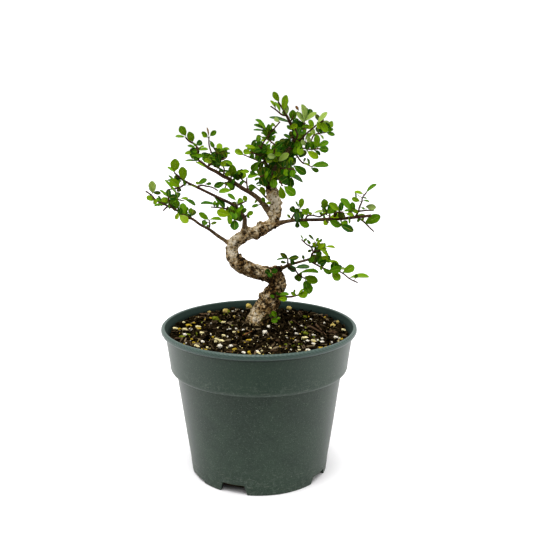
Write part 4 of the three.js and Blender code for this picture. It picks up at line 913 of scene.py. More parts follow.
# %% Left low branch
LEFT_LOW = {
    "name": "branch_left_low",
    "depth": (15, 46),
    "collar": 8,
    "stem": [
        (-22.5, 190.5, 1.6), (-27.5, 195.5, 1.35), (-34.7, 200.5, 1.25), (-42.6, 206.5, 1.05),
        (-50.5, 210.8, 0.9), (-56, 215, 0.9), (-61.7, 217.6, 0.8), (-67.9, 221.6, 0.75), (-73.4, 225, 0.7),
        (-79, 227.3, 0.65), (-87.7, 232, 0.6), (-91, 235.8, 0.55), (-95.4, 239, 0.5),
    ],
    "twigs": [
        ([(-43, 206.8), (-42, 209.6), (-42.5, 214.3)], -10),
        ([(-68, 221.6), (-69, 232), (-67.3, 231.7), (-64.2, 230.9)], 14),
        ([(-79, 227.3), (-82, 230.5)], -8),
        ([(-73.4, 225), (-76, 229), (-76.5, 234)], -14),
        ([(-77, 226.5), (-79.4, 224.4), (-81.2, 222.4)], -4),
    ],
    "leaves": [
        (-42.9, 214.8, -50.2, 220, 4), (-41.5, 215, -32.7, 215, 2.5), (-41.2, 211, -36.7, 212.4, 2.2),
        (-66, 233, -60.5, 233, 2), (-62.3, 232, -54.4, 227.8, 3),
        (-76, 232.5, -76.5, 240, 4, BEHIND, DARK), (-78.5, 235.2, -83, 239.5, 1.5),
        (-82.5, 231, -85, 234.8, 1.5), (-81.5, 229.5, -86, 233, 2.5), (-80, 227, -88, 226.5, 1.6),
        (-63.2, 219, -64.9, 228, 5.6), (-89.7, 237.5, -90, 246.6, 5.8, FRONT, PALE),
        (-89.5, 238, -83.5, 237.5, 3, BEHIND, DARK), (-88.2, 231.2, -94.4, 234.2, 4),
        (-67.4, 218.6, -61, 213, 5.8, FRONT, BRIGHT), (-68.6, 220.6, -70.5, 215.5, 3.2, FRONT, BRIGHT),
        (-68.7, 225.2, -73.6, 234.6, 5, FRONT, MIDDLE),
    ],
    "spots": [
        (-45.5, 212, 3.5, 4), (-44, 209, 2, 3), (-68.7, 235.3, 4.5, 5, BEHIND, DARK),
        (-73.7, 234, 4.5, 6, BEHIND, DARK), (-79, 232, 4, 6), (-75.5, 225.4, 2, 3.6), (-72, 223.6, 2, 3.6),
        (-62.5, 219.5, 3, 5, BEHIND, MIDDLE), (-62, 223, 3, 5, BEHIND, MIDDLE), (-58.5, 222, 3, 5),
        (-56.7, 220.4, 5.5, 6, BEHIND, DARK), (-58.7, 216.5, 3.5, 5, BEHIND, DARK), (-87.5, 230.5, 3, 5),
        (-79, 236.5, 2.5, 4), (-74.8, 230.5, 4, 6, BEHIND, MIDDLE), (-70.5, 226, 4, 6, BEHIND, MIDDLE),
        (-68.5, 228, 3, 5, FRONT, MIDDLE), (-78.5, 229.5, 3.5, 5, BEHIND, MIDDLE), (-84.3, 228.6, 2.5, 4),
        (-60.3, 217.5, 3, 4), (-47, 212.4, 3.5, 4),
    ],
    "filling": [
        (-72.5, 230, 3.5, 4, 3), (-64.5, 221, 3, 3, 2), (-80, 230.5, 2.5, 2, 1),
    ],
}

# %% Left middle branch
LEFT_MID = {
    "name": "branch_left_mid",
    "depth": (16, -14),
    "collar": 8,
    "stem": [
        (-11.5, 202, 2.6), (-12.2, 206, 2.2), (-12.3, 211.6, 1.6), (-12.3, 216.2, 1.4),
        (-14.5, 219.6, 1.3), (-17.3, 223, 1.25), (-20.1, 226.5, 1.05), (-25.8, 229.6, 0.95),
        (-32.4, 232.7, 0.9), (-42, 237.4, 0.85), (-53, 242.8, 0.8), (-61, 246.8, 0.7), (-67.2, 251.2, 0.6),
        (-70.8, 254.4, 0.5),
    ],
    "twigs": [
        ([(-60.8, 246.6), (-66.4, 242.4), (-72, 241.2), (-76.7, 240.4)], -12),
        ([(-52.4, 242.5), (-48.5, 244), (-44, 243.2), (-39.5, 242.3), (-34.8, 239.6)], 14),
        ([(-19.8, 226.5), (-14.5, 229), (-10.6, 230.7)], -8),
        ([(-19, 225), (-27, 224.2), (-31.4, 224.8), (-37, 225.3), (-40.6, 225.6)], -16),
        ([(-12.3, 216.4), (-10.2, 219)], -5),
        ([(-14.5, 219.6), (-20, 219.5), (-26, 219)], -14),
    ],
    "leaves": [
        (-70.7, 256, -70, 265, 6.4, FRONT, OLIVE_LEAF), (-63, 248.6, -64.4, 258.4, 6, FRONT, OLIVE_LEAF),
        (-71, 255, -76, 259.2, 1.8), (-67, 243, -74, 248.4, 5.4, FRONT, OLIVE_LEAF),
        (-65.6, 247, -70.4, 251.6, 4, BEHIND, MIDDLE), (-71, 247, -75.4, 252, 1.5),
        (-71.5, 248.6, -76.4, 248.2, 1.4), (-60.8, 244, -53, 243, 1.3),
        (-69.4, 236, -78.2, 247.4, 1.6, FRONT, OLIVE_LEAF), (-51.3, 245, -44.6, 249, 3.5),
        (-50, 245.5, -53, 246.3, 2.2), (-45, 245, -40.5, 245.6, 2.3), (-18.5, 228.5, -14.5, 232, 4.5),
        (-19.8, 231.5, -25.8, 236.4, 3), (-35.5, 227, -48, 228.5, 1.5),
        (-38.3, 235, -30, 226, 4.2, BEHIND, DARK), (-20.7, 214.5, -21, 206.8, 6.3, FRONT),
    ],
    "spots": [
        (-68.8, 250.5, 3, 5, BEHIND, DARK), (-67.6, 240.8, 3.4, 4, BEHIND, DARK), (-63, 245.5, 1.8, 5),
        (-11.7, 232.7, 3.5, 4.5), (-14.8, 226.5, 2.8, 5), (-37.5, 228, 2.2, 5),
        (-30, 220.2, 6, 10, FRONT, BRIGHT), (-25.7, 216.3, 3.5, 9, FRONT), (-23.5, 223.6, 4.5, 7),
        (-21.3, 218.6, 5, 6), (-21.8, 227, 4, 6, BEHIND, DARK), (-15.7, 216.8, 5.5, 6, BEHIND, DARK),
        (-13.4, 222.2, 3.5, 5.5), (-8.1, 220, 3.5, 5.5), (-9.8, 217.6, 1.8, 4),
        (-69.5, 245.3, 5, 6, BEHIND, MIDDLE), (-68, 247.8, 4, 5, BEHIND, DARK), (-35.3, 227, 2.5, 5),
        (-26.3, 223.5, 4, 6), (-23.5, 218.7, 4.5, 6), (-18.5, 219, 4, 6, BEHIND, DARK),
        (-17.8, 217.5, 5, 6, BEHIND, DARK), (-16.8, 222.5, 3, 5),
    ],
    "filling": [
        (-69, 246.5, 2, 2, 1), (-20, 221, 5, 3.5, 7),
    ],
}

# %% Left high branch
LEFT_HIGH = {
    "name": "branch_left_high",
    "depth": (19, 44),
    "collar": 7,
    "stem": [
        (12.5, 217, 2.8), (6.7, 224.2, 2.5), (2.2, 229.9, 1.9), (-3.3, 235, 1.7), (-9, 238.7, 1.5),
        (-14.5, 241.8, 1.5), (-20.1, 245.7, 1.5), (-24.6, 249.1, 1.3), (-30.2, 251.8, 1.3),
        (-36, 255.5, 1.2), (-42.6, 258.8, 1.1), (-47.3, 262.7, 0.9), (-50.7, 265.5, 0.8),
        (-51.3, 274.8, 0.7), (-53.4, 278.2, 0.6), (-57.8, 280.6, 0.55), (-60.6, 283.4, 0.5),
    ],
    "twigs": [
        ([(-42.6, 258.8), (-41, 264), (-38, 267.7), (-39.7, 271.5), (-41.5, 277.6), (-41.6, 283.1)], 14),
        ([(-41.8, 260.5), (-36.8, 264.3), (-31.8, 265), (-27.3, 267)], -14),
        ([(-36.8, 264.3), (-35, 270), (-37.7, 275.5)], -8),
        ([(-24.6, 249.1), (-22, 252.5)], 8),
        ([(-9.3, 239), (-10.3, 246), (-10.2, 250.4)], 10),
        ([(-10.2, 245.7), (-15, 249.4)], 8),
        ([(9, 231), (4.6, 235.2), (0.6, 239.4), (-3, 242.2)], 8),
        ([(-30.2, 251.8), (-29, 257), (-30.5, 261)], -12),
        ([(-24.6, 249.1), (-27.5, 244.5), (-29, 241)], -12),
        ([(2.2, 229.9), (0.6, 227.6)], -5),
        ([(-31.8, 265), (-31.6, 270), (-32, 273)], 8),
    ],
    "leaves": [
        (-60.8, 285.3, -64.8, 292.3, 5.5, FRONT, MIDDLE), (-61.5, 284.2, -68.6, 284.7, 2, FRONT, MIDDLE),
        (-55, 280.5, -57.8, 287.6, 5.5), (-52.8, 275, -58.9, 276.8, 2), (-50, 273.3, -43.2, 274, 2.2),
        (-51.3, 269.5, -61, 270.7, 3), (-52.5, 264.4, -60.9, 264.7, 1.5), (-53, 263.3, -45.4, 260, 2.3),
        (-42.6, 284.7, -47, 288, 3.3), (-40.4, 285.2, -36, 288.8, 3.8),
        (-41.7, 285, -43, 291.3, 1.2, EITHER, TAN), (-40.5, 281, -37.8, 276, 3), (-31, 274, -25, 274.2, 2),
        (-29.3, 270, -24.2, 270.7, 1.5), (-29.2, 265, -22.8, 261.3, 2.8),
        (-34.7, 258.8, -29.7, 255.4, 2, BEHIND, DARK), (-23, 252.5, -22, 260, 6),
        (-15.8, 255.7, -9, 255.5, 3), (-2, 243.5, 1.5, 243.6, 1.2), (-29.2, 246.2, -37, 243.2, 4.5, FRONT),
        (-23.5, 239.8, -32.8, 238.4, 3.6, FRONT), (-37, 275.5, -33.6, 270.5, 2, BEHIND, DARK),
        (-24, 246, -29, 245.6, 2.5, BEHIND, DARK), (4.8, 235.6, 1.8, 242, 4.2, FRONT, OLIVE_LEAF),
        (5, 229.8, 2.8, 233.4, 2.8, FRONT, MIDDLE), (6, 229.2, 9.6, 229, 2.2, FRONT, BRIGHT),
    ],
    "spots": [
        (-50, 279, 4.5, 5, BEHIND, DARK), (-47.8, 276, 1.5, 4), (-52.9, 272.7, 3, 4), (-54, 268, 3.5, 5),
        (-50.6, 267.2, 3, 4), (-44.5, 269.4, 5, 6, BEHIND, DARK), (-41.6, 268.3, 5, 7),
        (-42, 264.4, 4, 6, FRONT, BRIGHT), (-38.4, 262.7, 4, 5, BEHIND, DARK),
        (-34.5, 261, 3, 5, BEHIND, DARK), (-44.8, 284.8, 2.5, 4), (-32.6, 275.4, 4.5, 6),
        (-31, 271, 3.5, 7, BEHIND, DARK), (-27.6, 268.9, 3, 4.5), (-27.5, 261, 3, 5),
        (-32.5, 262, 2.5, 5, BEHIND, DARK), (-27.5, 256, 1.8, 4), (-17.4, 254.8, 3.5, 5),
        (-13.5, 251.5, 4, 6), (-19, 250.3, 3, 5), (-25, 245, 5, 6, BEHIND, DARK),
        (-22, 243, 4, 6, BEHIND, DARK), (-15, 244.5, 2.5, 7.5, BEHIND, DARK),
        (-5.4, 242.6, 4, 6, FRONT, MIDDLE), (-2.6, 226.7, 2.5, 6), (-1.7, 231.3, 1.8, 5),
        (-53, 277.5, 2, 4, FRONT), (-52.2, 266.3, 3.5, 4), (-46, 267.3, 2.5, 5),
        (-36, 265.8, 4.5, 6, BEHIND, DARK), (-37, 270.5, 3.5, 5, BEHIND, DARK), (-34.2, 273.2, 2.5, 4),
        (-33.2, 270, 3.5, 5, BEHIND, DARK), (-34.8, 263.3, 3.5, 5, BEHIND, DARK), (-30, 261.8, 4, 5),
        (-26, 261, 3, 5), (-31, 255.6, 2, 5, BEHIND, DARK), (-27, 253.5, 3, 5), (-24.3, 254.3, 3, 5),
        (-16.2, 253.5, 4, 6, BEHIND, DARK), (-17, 251, 4, 5), (-22.3, 246.3, 5, 6, BEHIND, DARK),
        (-7.5, 240.6, 3, 5, BEHIND, DARK),
    ],
    "filling": [
        (-38, 266, 6, 4.5, 9), (-31, 270.5, 4, 4, 5), (-18.5, 253, 5.5, 3, 7), (-52.5, 270, 3, 4, 5),
        (-22.5, 245, 3, 2, 3),
    ],
}

# %% Right middle branch
RIGHT_MID = {
    "name": "branch_right_mid",
    "depth": (20, -12),
    "collar": 7,
    "stem": [
        (11.5, 210, 2.4), (17, 211.8, 1.9), (22.2, 213.1, 1.3), (28.8, 214.1, 1.1), (35.3, 214.5, 1),
        (49.6, 214.8, 1.1), (58.8, 215.1, 1.2), (67.9, 215.5, 1.1), (74.4, 216.1, 1), (80.9, 216.8, 1),
        (87.4, 217.4, 0.9), (95.2, 218.4, 0.85),
    ],
    "twigs": [
        ([(26.8, 214), (29.5, 219), (32, 222), (34, 224)], 10),
        ([(39.2, 214.6), (41.2, 218.1), (45.7, 218.4), (50.9, 217.4), (53.5, 218.4), (58, 220.7)], -14),
        ([(59.5, 215.2), (59.8, 220), (56.2, 224)], 14),
        ([(63, 215.4), (65.3, 220.7), (70.5, 221.3)], -10),
        ([(80.9, 216.8), (78.9, 220), (75.7, 222.7)], 14),
        ([(81.5, 216.9), (84.2, 222), (85, 225.4), (87, 230.6), (87.2, 233.2), (90.4, 237.8)], -12),
        ([(84.2, 222), (90.7, 222.7), (97, 222.7)], 10),
        ([(82.8, 216.9), (86.7, 214.8), (90, 212.2), (93.8, 208.3), (97.7, 204.7)], 14),
        ([(56, 215), (59, 212.6)], -12),
        ([(69, 215.6), (70.5, 211.2)], -10),
    ],
    "leaves": [
        (34.9, 224.3, 36.3, 232.2, 4.3), (33.7, 225.3, 31, 230, 1.3),
        (30.9, 220.7, 27.2, 225.3, 4.5, BEHIND, DARK), (26.8, 216, 24.2, 219, 2),
        (40.4, 220.7, 44.7, 220, 2), (34, 213, 41.8, 209.5, 5),
        (46.4, 220.4, 53.5, 221.7, 1.8, FRONT, PALE), (52.2, 218, 56, 220.7, 1.8),
        (56.2, 224.6, 55, 231.5, 5.2), (55.5, 224.7, 52.7, 226.7, 2),
        (67.5, 222.5, 60.2, 228.4, 4.2, FRONT, OLIVE_LEAF), (60.3, 217, 70.5, 218.8, 3.8, FRONT, BRIGHT),
        (77.6, 222.7, 70, 232, 4.8, BEHIND, MIDDLE), (80.2, 221.5, 78.8, 229, 4),
        (71.8, 222, 76.3, 222.7, 1.8), (73.6, 220, 79.5, 218.5, 2.5), (90.4, 238.1, 97.8, 244.3, 2.4),
        (87.8, 236.5, 81, 238.5, 2.2), (81, 237.5, 82, 233.2, 1.2), (85, 230.6, 79, 232.9, 3.5),
        (87.5, 233.5, 90.8, 233, 1.2), (88.3, 231, 93, 230.3, 1.5), (86.2, 225.4, 89.4, 224, 1.5),
        (90.2, 211.8, 101.6, 217.6, 6.6, FRONT, MIDDLE), (90.4, 226.2, 98.2, 225.2, 4.4, FRONT, PALE),
        (82.8, 218, 89.3, 218.8, 2), (60, 214, 68.5, 209.5, 5, FRONT, MIDDLE),
        (69.5, 210, 79.3, 205.5, 5, FRONT, DARK), (69.5, 213, 75, 210.6, 3.2, FRONT, MIDDLE),
    ],
    "spots": [
        (32, 216.8, 4, 7, FRONT, GREY), (35, 220, 5, 6, BEHIND, DARK), (38, 222.7, 3, 5),
        (41.1, 222, 3, 5), (32.5, 210.8, 3.5, 5, BEHIND, DARK), (56.1, 221.4, 3.5, 7, BEHIND, DARK),
        (55.1, 216.8, 1.8, 4), (60, 224, 3.5, 6, BEHIND, DARK), (69.7, 225.5, 3.5, 7, BEHIND, DARK),
        (61.3, 221.5, 3.5, 5), (71.1, 219, 3, 5, BEHIND, DARK), (84.8, 214.8, 2.2, 4),
        (57, 212.5, 3.8, 4.5, FRONT, BRIGHT), (71.8, 211.8, 3.5, 6.5, BEHIND, DARK), (76.5, 215, 1.5, 6),
        (32.2, 222, 4, 3.5), (32.8, 214.5, 4, 5, FRONT, DARK), (28.6, 214.7, 2, 4), (39, 220.6, 3.5, 5),
        (52.5, 219.8, 2, 4), (59.8, 225.3, 4.5, 5, BEHIND, DARK), (63.6, 223, 2.5, 4, BEHIND, DARK),
        (82.3, 221.8, 3, 4), (88, 215.3, 2, 3, FRONT, BRIGHT),
    ],
    "filling": [
        (65, 222, 6, 3.5, 4), (34.5, 219, 2.5, 3, 1), (79, 223, 3, 2.5, 1),
    ],
}

# %% Right low branch
RIGHT_LOW = {
    "name": "branch_right_low",
    # painted shade: this part's leaves are made darker by this amount
    "painted_darkening": 0.07,
    "depth": (23, 10),
    "collar": 7.5,
    "stem": [
        (13, 171, 2.2), (18.4, 172.4, 1.6), (22.1, 173.7, 1.15), (24.7, 175.4, 1), (30, 176.8, 0.9),
        (36, 178.5, 0.8), (40.6, 179.8, 0.8), (44.6, 181.8, 0.8), (45.4, 185.2, 0.7), (47.2, 187, 0.6),
        (48, 190, 0.55), (47.7, 194.6, 0.5),
    ],
    "twigs": [
        ([(46.5, 186.3), (44.5, 191), (40.5, 193.6), (36.2, 197.6)], 14),
        ([(47.5, 187.5), (51.2, 188), (54.5, 190)], -12),
        ([(41.5, 180.2), (47.3, 176.8), (54.5, 173), (62.5, 170),
          (70, 169.3), (78.3, 163.2), (85.2, 159.8)], -20),
        ([(24.2, 175), (27, 172.5), (30.8, 171), (34, 167), (37.4, 164.6), (40, 163)], 10),
        ([(24.7, 175.4), (24.5, 181)], -8),
        ([(44.6, 181.8), (50, 182.5), (56, 181)], 16),
    ],
    "leaves": [
        (24.6, 180.6, 19, 185.2, 3.4, EITHER, DARK), (25, 180.8, 33.2, 182.1, 3.8, EITHER, DARK),
        (23, 181.2, 15.6, 180.2, 1.4), (23.5, 177.2, 19, 178.2, 2.2, EITHER, DARK),
        (22.8, 175.4, 31, 170.6, 4.6, EITHER, GREY), (31.4, 173, 42.3, 174, 3.5, EITHER, GREY),
        (35, 168.3, 49.4, 169, 2.8), (39.3, 165, 49.5, 161, 6.5), (40, 161.5, 43.5, 151, 7.5),
        (37.2, 197.3, 35.5, 201, 1), (40.7, 197.7, 43.6, 194, 2.2), (46.9, 197.3, 42.6, 201.3, 1.8),
        (50.8, 195, 53.5, 197.7, 2), (56.8, 191.2, 64.3, 190.6, 1.8, FRONT, BRIGHT),
        (54, 187.3, 59, 184.2, 2.2, FRONT, BRIGHT), (59.8, 179.3, 67.7, 176, 3, FRONT, BRIGHT),
        (55, 171.8, 61.4, 168.2, 3.6, FRONT, MIDDLE), (63, 169, 69, 162.8, 6),
        (69, 172, 73.7, 172.3, 2, EITHER, PALE), (72.3, 168.8, 81, 173.8, 6),
        (78.6, 164.3, 93.2, 165.3, 3.2), (53, 175, 53.5, 171, 2), (55.5, 189.5, 58, 186, 1.6),
        (59.8, 169.8, 69.6, 172, 5.4, FRONT, MIDDLE), (50.5, 189.6, 54.8, 193.8, 3.6, FRONT, BRIGHT),
        (52, 188.6, 57.2, 189.8, 3.2, FRONT, BRIGHT), (49.2, 191, 46, 194.6, 2.4, FRONT, BRIGHT),
        (50, 192.4, 51.6, 196.8, 2, FRONT, BRIGHT), (53.4, 182.6, 58.8, 180.6, 4, FRONT, BRIGHT),
        (50.2, 176.4, 56.6, 178.2, 3.2, FRONT, DARK),
    ],
    "spots": [
        (38, 181.8, 2.2, 4, BEHIND, DARK), (34.6, 165.4, 6, 7.4), (39, 197, 2, 4), (49.5, 197.3, 2, 4),
        (50.8, 193.3, 2.5, 4), (55, 191.3, 3, 6), (52.8, 190, 3.5, 4), (43.8, 188, 2.2, 4, BEHIND, DARK),
        (50.9, 184, 4.5, 7, BEHIND, DARK), (46.8, 191.7, 2, 4), (44.5, 179.5, 4, 6),
        (47.8, 180.5, 3.5, 5, BEHIND, DARK), (52, 180.3, 4, 6, BEHIND, DARK), (57, 181.3, 4, 7),
        (55, 176, 3.5, 8, BEHIND, DARK), (64.4, 172.4, 5.5, 10, BEHIND, DARK),
        (28.6, 178, 3.2, 6, EITHER, DARK), (40.5, 158.8, 5, 6), (47.5, 181.7, 4, 5, BEHIND, DARK),
        (58.5, 180, 4, 6), (68.3, 172.3, 5, 6, BEHIND, DARK), (83.5, 165, 2.5, 4),
        (50.3, 187.8, 3, 5, BEHIND, DARK),
    ],
    "filling": [
        (51, 180.5, 5, 2.5, 3), (65.5, 172, 4.5, 2, 2), (49, 190, 3, 4, 1),
    ],
}

